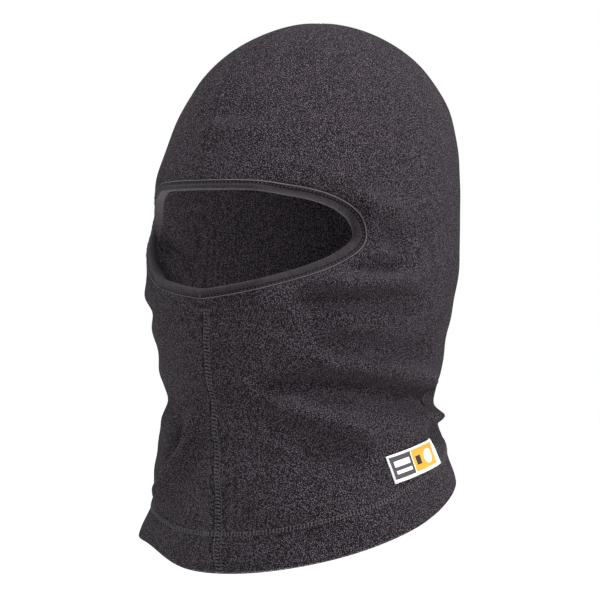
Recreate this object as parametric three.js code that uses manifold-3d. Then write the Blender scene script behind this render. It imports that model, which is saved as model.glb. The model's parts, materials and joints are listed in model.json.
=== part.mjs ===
// One-hole fleece balaclava, in its worn shape.
// Millimetres, +Z up, the face towards -Y, +X to the wearer's left.
// The origin is the centre of the head, level with the middle of the face opening.
import * as THREE from 'three';
import { mergeVertices } from 'three/addons/utils/BufferGeometryUtils.js';
import Module from 'manifold-3d';

const wasm = await Module();
wasm.setup();

// ---- Driving sizes -------------------------------------------------------------------------

// Worn form
const CROWN_RISE = 123.5;      // origin to the top of the crown
const CROWN_SETBACK = 16;      // how far back the top of the crown lies
const FACE_REACH = 96;         // origin plane to the brow
const BACK_REACH = 99;         // origin plane to the back of the head
const HALF_BREADTH = 83.5;     // centre plane to the side of the head
const THROAT_DROP = 85;        // origin down to the narrowest part of the neck
const HEM_DROP = 155;          // origin down to the hem, at the sides
const HEM_SLOPE = 0.33;        // the hem falls by this much per millimetre towards the front

// Face opening, to the folded edge of its binding
const OPENING_RISE = 24.5;     // tip level up to the brow edge
const OPENING_FALL = 29;       // tip level down to the chin edge
const OPENING_TIP_LEVEL = 1;
const OPENING_TIP_ANGLE = 59;  // degrees from the front to the tip of the opening

// Cloth and sewing
const FLEECE = 2.2;            // one ply of microfleece
const SEAM_ALLOWANCE = 6;      // standing flange inside each centre seam
const HEM_TURN = 22;           // height of the hem, two plies thick
const BINDING_WIDTH = 7;
const BINDING_PLY = 0.9;
const THREAD = 0.4;            // thickness of a laid thread
const CLEARANCE = 0.3;         // gap between touching pieces
const OVERLOCK_WALL = 0.6;
const OVERLOCK_BITE = 3;       // how far an overlock reaches down its flange
const TOPSTITCH_OFFSET = 3;    // centre seam to the middle of the topstitch
const TOPSTITCH_WIDTH = 4;

// Labels
const LOGO_LENGTH = 44;
const LOGO_HEIGHT = 15;
const LOGO_PLY = 0.6;
const LOGO_ABOVE_STITCH = 11;  // hem stitch up to the middle of the label
const LOGO_TILT = 13;          // degrees, the rear end raised
const LOGO_BORDER = 1.2;
const CARE_WIDTH = 26;
const CARE_LENGTH = 30;
const CARE_PLY = 0.5;
const CARE_ABOVE_STITCH = 5;   // hem stitch up to the free end of the tag
const CARE_STITCH_MARGIN = 1.6;
const CARE_ANGLE = 160;        // degrees round from the front, on the wearer's left

// Facets
const ROUND_STEPS = 36;
const SIDE_STEPS = 10;
const CROWN_STEPS = 8;
const OPENING_STEPS = 32;

// ---- Worn form -----------------------------------------------------------------------------

// Level cross-sections from the origin down to the hem. square > 0 fills out the cheeks.
const betweenThroatAndHem = (share) => THROAT_DROP + share * (HEM_DROP - THROAT_DROP);
const SECTIONS = [
  { drop: 0, front: FACE_REACH, back: BACK_REACH, half: HALF_BREADTH, square: 0 },
  { drop: THROAT_DROP * 0.35, front: FACE_REACH - 2, back: BACK_REACH - 4, half: HALF_BREADTH - 0.5, square: 0.03 },
  { drop: THROAT_DROP * 0.7, front: FACE_REACH - 6, back: BACK_REACH - 12, half: HALF_BREADTH - 4.5, square: 0 },
  { drop: THROAT_DROP, front: FACE_REACH - 11, back: BACK_REACH - 16, half: HALF_BREADTH - 8.5, square: 0 },
  { drop: betweenThroatAndHem(0.36), front: FACE_REACH - 11, back: BACK_REACH - 25, half: HALF_BREADTH - 6.5, square: 0.03 },
  { drop: betweenThroatAndHem(0.71), front: FACE_REACH - 10, back: BACK_REACH - 24, half: HALF_BREADTH + 1, square: 0.05 },
  { drop: HEM_DROP, front: FACE_REACH - 9, back: BACK_REACH - 22, half: HALF_BREADTH + 6.5, square: 0.05 },
];

// Smooth curve through the sections, read at one drop.
function sectionValue(drop, key) {
  const last = SECTIONS.length - 1;
  let i = SECTIONS.findIndex((section) => section.drop >= drop) - 1;
  if (i < 0) i = drop <= 0 ? 0 : last - 1;
  const tangent = (j) => {
    const before = SECTIONS[Math.max(j - 1, 0)];
    const after = SECTIONS[Math.min(j + 1, last)];
    return j === 0 ? 0 : (after[key] - before[key]) / (after.drop - before.drop);
  };
  const [a, b] = [SECTIONS[i], SECTIONS[i + 1]];
  const span = b.drop - a.drop;
  const t = (drop - a.drop) / span;
  return (2 * t ** 3 - 3 * t ** 2 + 1) * a[key] + (t ** 3 - 2 * t ** 2 + t) * span * tangent(i)
    + (3 * t ** 2 - 2 * t ** 3) * b[key] + (t ** 3 - t ** 2) * span * tangent(i + 1);
}

// Reaches of the outline at a level, pulled in by an inset from the outer cloth.
function outlineAt(level, inset) {
  if (level < 0) {
    return {
      front: sectionValue(-level, 'front') - inset,
      back: sectionValue(-level, 'back') - inset,
      half: sectionValue(-level, 'half') - inset,
      square: sectionValue(-level, 'square'),
      slope: HEM_SLOPE * (-level / HEM_DROP) ** 1.5,
    };
  }
  const share = Math.min(level / (CROWN_RISE - inset), 1);
  const lengthwise = Math.sqrt(1 - share ** 3);
  const crosswise = Math.sqrt(1 - share ** 2.05);
  const lean = CROWN_SETBACK * share ** 2 * (3 - 2 * share);
  return {
    front: (FACE_REACH - inset) * lengthwise - lean,
    back: (BACK_REACH - inset) * lengthwise + lean,
    half: (HALF_BREADTH - inset) * crosswise,
    square: 0,
    slope: 0,
  };
}

// Point of the form: angle 0 is the front, 90 degrees the wearer's left.
function formPoint(angle, level, inset = 0) {
  const { front, back, half, square, slope } = outlineAt(level, inset);
  const ahead = Math.cos(angle);
  const y = (back - front) / 2 - ((back + front) / 2) * ahead;
  const x = half * Math.sin(angle) * (1 + square * Math.max(ahead, 0));
  return new THREE.Vector3(x, y, level + slope * y);
}

// ---- Solids --------------------------------------------------------------------------------

const solids = { from: (vertices, triangles) => new wasm.Manifold(new wasm.Mesh({
  numProp: 3,
  vertProperties: Float32Array.from(vertices.flatMap((v) => [v.x, v.y, v.z])),
  triVerts: Uint32Array.from(triangles.flat()),
})) };

const HEM_SPARE = 14;          // length below the hem, cut away later

// The solid inside the form, inset from the outer cloth (a negative inset lies outside it).
function head(inset) {
  const levels = [];
  const bottom = -HEM_DROP - HEM_SPARE - inset;
  for (let i = 0; i <= SIDE_STEPS; i += 1) levels.push(bottom * (1 - i / SIDE_STEPS));
  for (let i = 1; i < CROWN_STEPS; i += 1) {
    levels.push((CROWN_RISE - inset) * Math.sin((i / CROWN_STEPS) * (Math.PI / 2)));
  }
  const vertices = levels.flatMap((level) => Array.from({ length: ROUND_STEPS }, (_, k) =>
    formPoint((k / ROUND_STEPS) * 2 * Math.PI, level, inset)));
  const triangles = [];
  const ring = (row, k) => row * ROUND_STEPS + (k % ROUND_STEPS);
  const foot = vertices.push(new THREE.Vector3(0, 0, bottom)) - 1;
  const top = vertices.push(formPoint(0, CROWN_RISE - inset, inset)) - 1;
  for (let k = 0; k < ROUND_STEPS; k += 1) {
    triangles.push([foot, ring(0, k + 1), ring(0, k)]);
    triangles.push([top, ring(levels.length - 1, k), ring(levels.length - 1, k + 1)]);
    for (let row = 0; row + 1 < levels.length; row += 1) {
      triangles.push([ring(row, k), ring(row, k + 1), ring(row + 1, k + 1)]);
      triangles.push([ring(row, k), ring(row + 1, k + 1), ring(row + 1, k)]);
    }
  }
  return solids.from(vertices, triangles);
}

// A manifold as three.js geometry.
function geometryOf(solid) {
  const { vertProperties, triVerts } = solid.getMesh();
  const geometry = new THREE.BufferGeometry();
  geometry.setAttribute('position', new THREE.BufferAttribute(vertProperties, 3));
  geometry.setIndex(new THREE.BufferAttribute(triVerts, 1));
  geometry.computeVertexNormals();
  return geometry;
}

const layer = (outerInset, innerInset) => head(outerInset).subtract(head(innerInset));

// A three.js solid placed by a matrix, as a manifold.
function solidOf(geometry, matrix = new THREE.Matrix4()) {
  const placed = geometry.clone().applyMatrix4(matrix);
  placed.deleteAttribute('normal');
  placed.deleteAttribute('uv');
  const merged = mergeVertices(placed);
  return new wasm.Manifold(new wasm.Mesh({
    numProp: 3,
    vertProperties: Float32Array.from(merged.attributes.position.array),
    triVerts: Uint32Array.from(merged.index.array),
  }));
}

// Everything between two planes that stand across the head.
function slab(xFrom, xTo) {
  const box = new THREE.BoxGeometry(xTo - xFrom, 500, 700);
  return solidOf(box, new THREE.Matrix4().makeTranslation((xFrom + xTo) / 2, 0, 0));
}

// Everything below a plane that is parallel to the hem and a height above it.
function belowHemPlane(height) {
  const depth = 400;
  const box = new THREE.BoxGeometry(600, 600, depth).translate(0, 0, -depth / 2);
  const matrix = new THREE.Matrix4().makeTranslation(0, 0, height - HEM_DROP);
  return solidOf(box, matrix.multiply(new THREE.Matrix4().makeRotationX(Math.atan(HEM_SLOPE))));
}

// ---- Face opening --------------------------------------------------------------------------

// Mean radius that turns an angle round the face into a length along the cloth.
const FACE_RADIUS = (FACE_REACH + HALF_BREADTH) / 2;
const TIP_REACH = THREE.MathUtils.degToRad(OPENING_TIP_ANGLE) * FACE_RADIUS;

// Outline of the opening on the flattened cloth: s along the cloth, z up.
function openingEdge(t) {
  const share = Math.abs(Math.cos(t));
  const z = Math.sin(t) >= 0
    ? OPENING_TIP_LEVEL + OPENING_RISE * (1 - share ** 3.2) ** 0.47
    : OPENING_TIP_LEVEL - OPENING_FALL * (1 - share ** 1.3) ** 0.6;
  return new THREE.Vector2(TIP_REACH * Math.cos(t), z);
}

// The outline moved out into the cloth by a distance.
function openingLoop(distance) {
  return Array.from({ length: OPENING_STEPS }, (_, i) => {
    const t = (i / OPENING_STEPS) * 2 * Math.PI;
    const step = 0.02;
    const along = openingEdge(t + step).sub(openingEdge(t - step)).normalize();
    return openingEdge(t).add(new THREE.Vector2(along.y, -along.x).multiplyScalar(distance));
  });
}

// A flattened point carried out along the ray from inside the head through the cloth.
function rayPoint(point, reach) {
  const angle = point.x / FACE_RADIUS;
  const middle = (BACK_REACH - FACE_REACH) / 2;
  const length = (BACK_REACH + FACE_REACH) / 2;
  return new THREE.Vector3(reach * HALF_BREADTH * Math.sin(angle),
    middle - reach * length * Math.cos(angle), point.y);
}
const RAY_START = 0.8;
const RAY_END = 1.12;

// Everything seen through the opening when its edge is moved out by a distance.
function openingPlug(distance) {
  const loop = openingLoop(distance);
  const n = OPENING_STEPS;
  const vertices = [RAY_START, RAY_END].flatMap((reach) => loop.map((point) => rayPoint(point, reach)));
  const triangles = [];
  for (let i = 0; i < n; i += 1) {
    const j = (i + 1) % n;
    triangles.push([i, j, n + j], [i, n + j, n + i]);
  }
  const mirrored = (i) => (n - i) % n;
  for (let i = 0; i < n / 2; i += 1) {
    const [a, b, c, d] = [i, i + 1, mirrored(i + 1), mirrored(i)];
    for (const [p, q, r] of [[a, b, c], [a, c, d]]) {
      if (p === q || q === r || r === p) continue;
      triangles.push([p, r, q], [n + p, n + q, n + r]);
    }
  }
  return outward(vertices, triangles);
}

// A ring through the cloth between two distances from the edge of the opening.
function openingBand(from, to) {
  const n = OPENING_STEPS;
  const rings = [[from, RAY_START], [to, RAY_START], [to, RAY_END], [from, RAY_END]];
  const vertices = rings.flatMap(([distance, reach]) =>
    openingLoop(distance).map((point) => rayPoint(point, reach)));
  const triangles = [];
  for (let side = 0; side < 4; side += 1) {
    const next = ((side + 1) % 4) * n;
    for (let i = 0; i < n; i += 1) {
      const j = (i + 1) % n;
      triangles.push([side * n + i, next + i, next + j], [side * n + i, next + j, side * n + j]);
    }
  }
  return outward(vertices, triangles);
}

// A closed solid whose faces are turned outwards whichever way they were listed.
function outward(vertices, triangles) {
  const volume = triangles.reduce((sum, [a, b, c]) =>
    sum + vertices[a].dot(vertices[b].clone().cross(vertices[c])), 0);
  return solids.from(vertices, volume > 0 ? triangles : triangles.map(([a, b, c]) => [a, c, b]));
}

// ---- Panels and seams ----------------------------------------------------------------------

const HALF_GAP = CLEARANCE / 2;
const FLANGE_ROOM = 1;         // bare seam between a flange and the binding or hem stitch

// Wall, turned-up hem and seam flange of the wearer's left panel; side -1 makes the right.
function panel(side) {
  const across = (from, to) => (side > 0 ? slab(from, to) : slab(-to, -from));
  const wall = layer(0, FLEECE);
  const turnUp = layer(0, 2 * FLEECE).intersect(belowHemPlane(HEM_TURN));
  const flange = layer(FLEECE / 2, FLEECE + SEAM_ALLOWANCE)
    .intersect(across(HALF_GAP, HALF_GAP + FLEECE))
    .subtract(openingPlug(BINDING_WIDTH + FLANGE_ROOM))
    .subtract(belowHemPlane(HEM_TURN + FLANGE_ROOM));
  return wall.add(turnUp).add(flange)
    .intersect(across(HALF_GAP, 300))
    .subtract(openingPlug(BINDING_PLY + CLEARANCE))
    .subtract(belowHemPlane(0));
}

// Thread cage over the two flange edges, along the whole centre plane.
function overlock() {
  const inner = HALF_GAP + FLEECE + CLEARANCE;
  const depth = FLEECE + SEAM_ALLOWANCE;
  const outer = layer(depth - OVERLOCK_BITE, depth + CLEARANCE + OVERLOCK_WALL)
    .intersect(slab(-inner - OVERLOCK_WALL, inner + OVERLOCK_WALL));
  const groove = layer(FLEECE, depth + CLEARANCE).intersect(slab(-inner, inner));
  return outer.subtract(groove)
    .subtract(openingPlug(BINDING_WIDTH + FLANGE_ROOM))
    .subtract(belowHemPlane(HEM_TURN + FLANGE_ROOM));
}

// The part of a solid in front of, or behind, the coronal plane.
function frontHalf() {
  return solidOf(new THREE.BoxGeometry(400, 200, 700), new THREE.Matrix4().makeTranslation(0, -100, -350));
}

const fullOverlock = overlock();
const chinSeamSide = frontHalf();
const frontSeamOverlock = fullOverlock.intersect(chinSeamSide);
const crownSeamOverlock = fullOverlock.subtract(chinSeamSide);

// Topstitch beside the front seam, from under the binding to just above the hem stitch.
function topstitch(outerInset, innerInset, xFrom, xTo) {
  return layer(outerInset, innerInset)
    .intersect(slab(xFrom, xTo))
    .intersect(chinSeamSide)
    .subtract(openingPlug(BINDING_WIDTH + FLANGE_ROOM))
    .subtract(belowHemPlane(HEM_TURN + 2 * FLANGE_ROOM));
}

const OVERLOCK_HALF = HALF_GAP + FLEECE + CLEARANCE + OVERLOCK_WALL;

// ---- Binding -------------------------------------------------------------------------------

// U-shaped strip that wraps the raw edge of the panels all round the opening.
function binding() {
  const outside = -(CLEARANCE + BINDING_PLY);
  const inside = FLEECE + CLEARANCE + BINDING_PLY;
  const strip = openingBand(0, BINDING_WIDTH);
  const leaves = layer(outside, -CLEARANCE).add(layer(FLEECE + CLEARANCE, inside)).intersect(strip);
  const fold = layer(outside, inside).intersect(openingBand(0, BINDING_PLY));
  return leaves.add(fold);
}

const NEEDLE_INSET = 1.4;      // needle row to the outer edge of the binding
const NEEDLE_WIDTH = 0.8;
const LOOPER_WIDTH = 1.8;

function bindingThread(outerInset, width) {
  const middle = BINDING_WIDTH - NEEDLE_INSET;
  return layer(outerInset, outerInset + THREAD).intersect(openingBand(middle - width / 2, middle + width / 2));
}

// Bar tack that closes the two ends of the binding at the chin.
function joinTack() {
  const outside = -(2 * CLEARANCE + BINDING_PLY + THREAD);
  const middle = (BINDING_WIDTH - NEEDLE_INSET - NEEDLE_WIDTH) / 2;
  return layer(outside, outside + THREAD)
    .intersect(openingBand(middle - 1.5, middle + 1.5))
    .intersect(slab(-0.8, 0.8))
    .intersect(solidOf(new THREE.BoxGeometry(20, 300, 60), new THREE.Matrix4().makeTranslation(0, 0, -30)));
}

// ---- Hem -----------------------------------------------------------------------------------

// Height of the hem stitch at a distance behind the origin.
const hemStitchHeight = (y) => HEM_TURN - HEM_DROP + HEM_SLOPE * y;

function hemThread(outerInset, height, width) {
  return layer(outerInset, outerInset + THREAD)
    .intersect(belowHemPlane(height + width / 2))
    .subtract(belowHemPlane(height - width / 2));
}

// ---- Labels --------------------------------------------------------------------------------

// Woven label on the wearer's left, level with the throat; it follows the cloth.
const logoSide = formPoint(Math.PI / 2, HEM_TURN - HEM_DROP);
const logoHeight = hemStitchHeight(logoSide.y) + LOGO_ABOVE_STITCH;
const logoPlace = new THREE.Matrix4()
  .makeTranslation(logoSide.x, logoSide.y, logoHeight)
  .multiply(new THREE.Matrix4().makeRotationX(THREE.MathUtils.degToRad(LOGO_TILT)));
const logoBlock = (shrink) => solidOf(
  new THREE.BoxGeometry(60, LOGO_LENGTH - 2 * shrink, LOGO_HEIGHT - 2 * shrink), logoPlace);

function logoLabel() {
  return layer(-(CLEARANCE + LOGO_PLY), -CLEARANCE).intersect(logoBlock(0));
}

function logoThread() {
  const outside = -(2 * CLEARANCE + LOGO_PLY + THREAD);
  return layer(outside, outside + THREAD)
    .intersect(logoBlock(LOGO_BORDER / 2).subtract(logoBlock(LOGO_BORDER / 2 + THREAD)));
}

// Care label, a flat tag inside the back of the neck. It hangs from its stitched top edge and
// leans on the cloth behind it.
const careAngle = THREE.MathUtils.degToRad(CARE_ANGLE);
const careOutward = new THREE.Vector3(Math.sin(careAngle), -Math.cos(careAngle), 0);
const careAcross = new THREE.Vector3(Math.cos(careAngle), Math.sin(careAngle), 0);

const careFoot = hemStitchHeight(careOutward.y * (BACK_REACH - 25)) + CARE_ABOVE_STITCH;
const careHead = careFoot + CARE_LENGTH;
const liner = new THREE.Mesh(geometryOf(head(FLEECE)), new THREE.MeshBasicMaterial({ side: THREE.DoubleSide }));

// How far the inside of the cloth lies from the tag's own plane through the origin.
function careReach(across, height) {
  const start = careAcross.clone().multiplyScalar(across).setZ(height);
  return new THREE.Raycaster(start, careOutward).intersectObject(liner)[0].distance;
}

// The tag's outer face runs straight between its top and bottom edges, and clears the cloth
// behind every point of it.
const careGrid = Array.from({ length: 9 }, (_, i) => i / 8);
const careRow = (share) => Math.min(...careGrid.map((across) =>
  careReach((across - 0.5) * (CARE_WIDTH + 1), careHead - share * CARE_LENGTH)));
const careSlant = (share) => careRow(0) + share * (careRow(1) - careRow(0));
const careShift = Math.max(...careGrid.map((share) => careSlant(share) - careRow(share))) + CLEARANCE + 0.05;
const careTop = careOutward.clone().multiplyScalar(careSlant(0) - careShift).setZ(careHead);
const careBottom = careOutward.clone().multiplyScalar(careSlant(1) - careShift).setZ(careFoot);
const careUp = careTop.clone().sub(careBottom).normalize();
const careInward = careUp.clone().cross(careAcross);

// A plate on the tag: its depth in from the outer face, and its span down from the top edge.
function carePlate(depth, thickness, width, from, to) {
  const centre = careTop.clone()
    .addScaledVector(careInward, depth + thickness / 2)
    .addScaledVector(careUp, -(from + to) / 2);
  const matrix = new THREE.Matrix4().makeBasis(careAcross, careInward, careUp).setPosition(centre);
  return new THREE.BoxGeometry(width, thickness, to - from).applyMatrix4(matrix);
}

const careLabel = carePlate(0, CARE_PLY, CARE_WIDTH, 0, CARE_LENGTH);
const careThread = carePlate(CARE_PLY + CLEARANCE, THREAD, CARE_WIDTH - 2 * CARE_STITCH_MARGIN,
  CARE_STITCH_MARGIN, CARE_STITCH_MARGIN + NEEDLE_WIDTH);

// ---- Assembly ------------------------------------------------------------------------------

const cloth = (colour, roughness = 0.95) =>
  new THREE.MeshStandardMaterial({ color: colour, roughness, metalness: 0 });
const fleeceMaterial = cloth(0x433e44);
const bindingMaterial = cloth(0x3a353b, 0.85);
const threadMaterial = cloth(0x2b282c, 0.6);
const labelMaterial = cloth(0xe09a28, 0.7);
const careMaterial = cloth(0xe9e7e2, 0.6);

const hood = new THREE.Group();

function place(name, shape, material) {
  const geometry = shape.isBufferGeometry ? shape : geometryOf(shape);
  const mesh = new THREE.Mesh(geometry, material);
  mesh.name = name;
  hood.add(mesh);
}

place('left_panel', panel(1), fleeceMaterial);
place('right_panel', panel(-1), fleeceMaterial);
place('front_seam_overlock', frontSeamOverlock, threadMaterial);
place('crown_seam_overlock', crownSeamOverlock, threadMaterial);
place('front_topstitch_needle_thread', topstitch(-CLEARANCE - THREAD, -CLEARANCE,
  TOPSTITCH_OFFSET - TOPSTITCH_WIDTH / 2, TOPSTITCH_OFFSET + TOPSTITCH_WIDTH / 2), threadMaterial);
place('front_topstitch_looper_thread', topstitch(FLEECE + CLEARANCE, FLEECE + CLEARANCE + THREAD,
  OVERLOCK_HALF + CLEARANCE, OVERLOCK_HALF + CLEARANCE + LOOPER_WIDTH), threadMaterial);
place('face_binding', binding(), bindingMaterial);
place('binding_join_tack', joinTack(), threadMaterial);
place('binding_needle_thread', bindingThread(-(2 * CLEARANCE + BINDING_PLY + THREAD), NEEDLE_WIDTH), threadMaterial);
place('binding_looper_thread', bindingThread(FLEECE + 2 * CLEARANCE + BINDING_PLY, LOOPER_WIDTH), threadMaterial);
place('hem_needle_thread', hemThread(-CLEARANCE - THREAD, HEM_TURN, NEEDLE_WIDTH), threadMaterial);
place('hem_looper_thread', hemThread(2 * FLEECE + CLEARANCE, HEM_TURN - LOOPER_WIDTH, LOOPER_WIDTH), threadMaterial);
place('logo_label', logoLabel(), labelMaterial);
place('logo_label_thread', logoThread(), threadMaterial);
place('care_label', careLabel, careMaterial);
place('care_label_thread', careThread, threadMaterial);

export default hood;
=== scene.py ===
"""Looks of an open-face fleece balaclava in its worn shape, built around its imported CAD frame.

The hood is worked out in millimetres, +Z up, the face towards -Y and +X to the wearer's left,
and every mesh is written in metres in the same frame. Angles go round the head from the front,
positive towards the wearer's left.
"""
import json
import logging
import math
from dataclasses import dataclass, field, replace
from enum import Enum
from functools import cached_property

import bpy
import numpy as np
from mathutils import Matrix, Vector


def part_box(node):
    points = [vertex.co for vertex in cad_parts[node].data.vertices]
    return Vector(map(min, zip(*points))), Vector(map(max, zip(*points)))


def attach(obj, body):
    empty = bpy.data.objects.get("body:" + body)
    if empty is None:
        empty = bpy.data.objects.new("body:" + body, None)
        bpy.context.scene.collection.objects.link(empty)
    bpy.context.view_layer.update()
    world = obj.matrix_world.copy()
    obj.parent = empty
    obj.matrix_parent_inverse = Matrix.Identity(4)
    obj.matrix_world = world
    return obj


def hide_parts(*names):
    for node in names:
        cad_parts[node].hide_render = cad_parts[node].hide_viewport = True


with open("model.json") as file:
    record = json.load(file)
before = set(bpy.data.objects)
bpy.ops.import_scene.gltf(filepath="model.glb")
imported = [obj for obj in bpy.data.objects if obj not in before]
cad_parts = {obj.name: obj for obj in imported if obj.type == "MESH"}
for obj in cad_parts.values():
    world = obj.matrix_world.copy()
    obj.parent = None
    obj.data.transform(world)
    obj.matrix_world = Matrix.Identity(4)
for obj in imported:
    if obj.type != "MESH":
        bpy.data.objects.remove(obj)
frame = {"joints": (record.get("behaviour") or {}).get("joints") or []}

LOG = logging.getLogger("balaclava")
MM = 0.001
HOOD = "hood"
CARE_TAG = "care_tag"
# Drop from the origin to the plane of the hem, in millimetres.
HEM_DROP = 155.0
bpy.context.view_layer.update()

Array = np.ndarray


class Side(Enum):
    """Which side of the wearer a panel covers."""

    LEFT = 1
    RIGHT = -1


# ---- Mesh helpers --------------------------------------------------------------------------


def smoothstep(t: Array) -> Array:
    """A soft ramp from 0 to 1 as t goes from 0 to 1."""
    t = np.clip(t, 0.0, 1.0)
    return t * t * (3.0 - 2.0 * t)


def swell(value: Array, centre: float, reach: float) -> Array:
    """A soft hump, 1 high at its centre."""
    return np.exp(-(((value - centre) / reach) ** 2))


def unit(vectors: Array) -> Array:
    """Rows of vectors, each made one long."""
    return vectors / np.maximum(np.linalg.norm(vectors, axis=-1, keepdims=True), 1e-9)


@dataclass(frozen=True)
class Settling:
    """How the worn hood sits a little askew: its front seam wanders and its hem tilts."""

    # Height against how far the front seam has drifted to the wearer's left.
    front_seam: tuple[tuple[float, float], ...] = (
        (-178, 3.4), (-143, 2.8), (-105, 0.2), (-72, -1.8), (-34, 0.8), (30, -1.0), (58, -3.5), (88, -5.5),
        (115, -1.0), (124, 0.0),
    )
    reach: float = 34.0
    hem_roll: float = 0.02
    hem_drop: float = HEM_DROP
    # The hem is drawn up a little over the wearer's right collar bone.
    drawn_up: float = 4.2
    drawn_up_at: float = -58.0
    drawn_up_reach: float = 24.0

    def settle(self, points: Array) -> Array:
        """Moves points of any piece with the hood as it settles.

        Args:
            points: Rows of X, Y, Z in millimetres.

        Returns:
            The moved points.
        """
        x, y, z = points[:, 0], points[:, 1], points[:, 2]
        heights, drift = np.array(self.front_seam).T
        share = swell(x, 0.0, self.reach) * smoothstep((10 - y) / 40)
        low = np.clip(-z / self.hem_drop, 0.0, 1.3)
        drawn = self.drawn_up * swell(x, self.drawn_up_at, self.drawn_up_reach) * smoothstep((-10 - y) / 50)
        tilt = self.hem_roll * x * low**1.5 + drawn * low**4
        return np.stack([x + np.interp(z, heights, drift) * share, y, z + tilt], axis=-1)


SETTLING = Settling()


def make_object(name: str, points: Array, faces: list, material: bpy.types.Material,
                settled: bool = True) -> bpy.types.Object:
    """Makes a smooth-shaded mesh object from points in millimetres.

    Args:
        name: The piece's name.
        points: Rows of X, Y, Z in millimetres.
        faces: Tuples of point numbers.
        material: The finish.
        settled: Whether the piece moves with the settling of the hood.

    Returns:
        The object, linked to the scene, at the origin.
    """
    points = SETTLING.settle(np.asarray(points)) if settled else np.asarray(points)
    mesh = bpy.data.meshes.new(name)
    mesh.from_pydata((points * MM).tolist(), [], faces)
    mesh.update()
    mesh.polygons.foreach_set("use_smooth", [True] * len(mesh.polygons))
    mesh.materials.append(material)
    piece = bpy.data.objects.new(name, mesh)
    bpy.context.scene.collection.objects.link(piece)
    return piece


def fit_piece(piece: bpy.types.Object, body: str, node: str) -> bpy.types.Object:
    """Rides a finished piece on its body, in place of its CAD node.

    Args:
        piece: The finished piece.
        body: The body that carries it.
        node: The CAD node that it stands for.

    Returns:
        The same piece.
    """
    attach(piece, body)
    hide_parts(node)
    return piece


def turned_outwards(points: Array, faces: list) -> list:
    """Turns the quads of a closed body over where they face inwards.

    Args:
        points: Rows of X, Y, Z.
        faces: The body's quads.

    Returns:
        The quads, facing outwards.
    """
    a, b, c, d = points[np.array(faces)].transpose(1, 0, 2)
    volume = np.einsum("ij,ij->i", a, np.cross(b, c) + np.cross(c, d)).sum()
    return faces if volume > 0 else [f[::-1] for f in faces]


def grid_faces(keep: Array, first: int = 0, flip: bool = False) -> list[tuple[int, ...]]:
    """Quads of a grid of points, for the cells that are kept.

    Args:
        keep: Rows by columns of cells, one fewer each way than the points.
        first: Number of the grid's first point.
        flip: Whether the faces are turned over.

    Returns:
        The quads.
    """
    columns = keep.shape[1] + 1
    row, column = np.nonzero(keep)
    a = first + row * columns + column
    quads = np.stack([a, a + 1, a + columns + 1, a + columns], axis=1)
    return [tuple(q) for q in (quads[:, ::-1] if flip else quads).tolist()]


def double_skin(outer: Array, inner: Array, keep: Array) -> tuple[Array, list]:
    """Closes two matching grids of points into one ply of cloth with rims.

    Args:
        outer: Rows by columns of points on the face side.
        inner: The same points on the back of the ply.
        keep: Cells that exist.

    Returns:
        The points and the faces, turned outwards.
    """
    rows, columns, _ = outer.shape
    count = rows * columns
    points = np.concatenate([outer.reshape(-1, 3), inner.reshape(-1, 3)])
    faces = grid_faces(keep)
    used: dict[tuple[int, int], int] = {}
    for quad in faces:
        for a, b in zip(quad, quad[1:] + quad[:1]):
            used[(a, b)] = 1
    rims = [(b, a, a + count, b + count) for (a, b) in used if (b, a) not in used]
    faces = turned_outwards(points, faces + grid_faces(keep, count, True) + rims)
    numbers = np.unique(np.array(faces))
    lookup = np.full(len(points), -1)
    lookup[numbers] = np.arange(len(numbers))
    return points[numbers], [tuple(lookup[list(f)]) for f in faces]


def swept_ring(rings: Array) -> tuple[Array, list]:
    """Joins a closed run of closed cross-sections into one body.

    Args:
        rings: Steps by section points by 3.

    Returns:
        The points and the faces, turned outwards.
    """
    steps, section, _ = rings.shape
    points = rings.reshape(-1, 3)
    faces = []
    for i in range(steps):
        for j in range(section):
            a, b = i * section + j, i * section + (j + 1) % section
            c, d = ((i + 1) % steps) * section + (j + 1) % section, ((i + 1) % steps) * section + j
            faces.append((a, b, c, d))
    return points, turned_outwards(points, faces)


# ---- Face opening --------------------------------------------------------------------------


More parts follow.
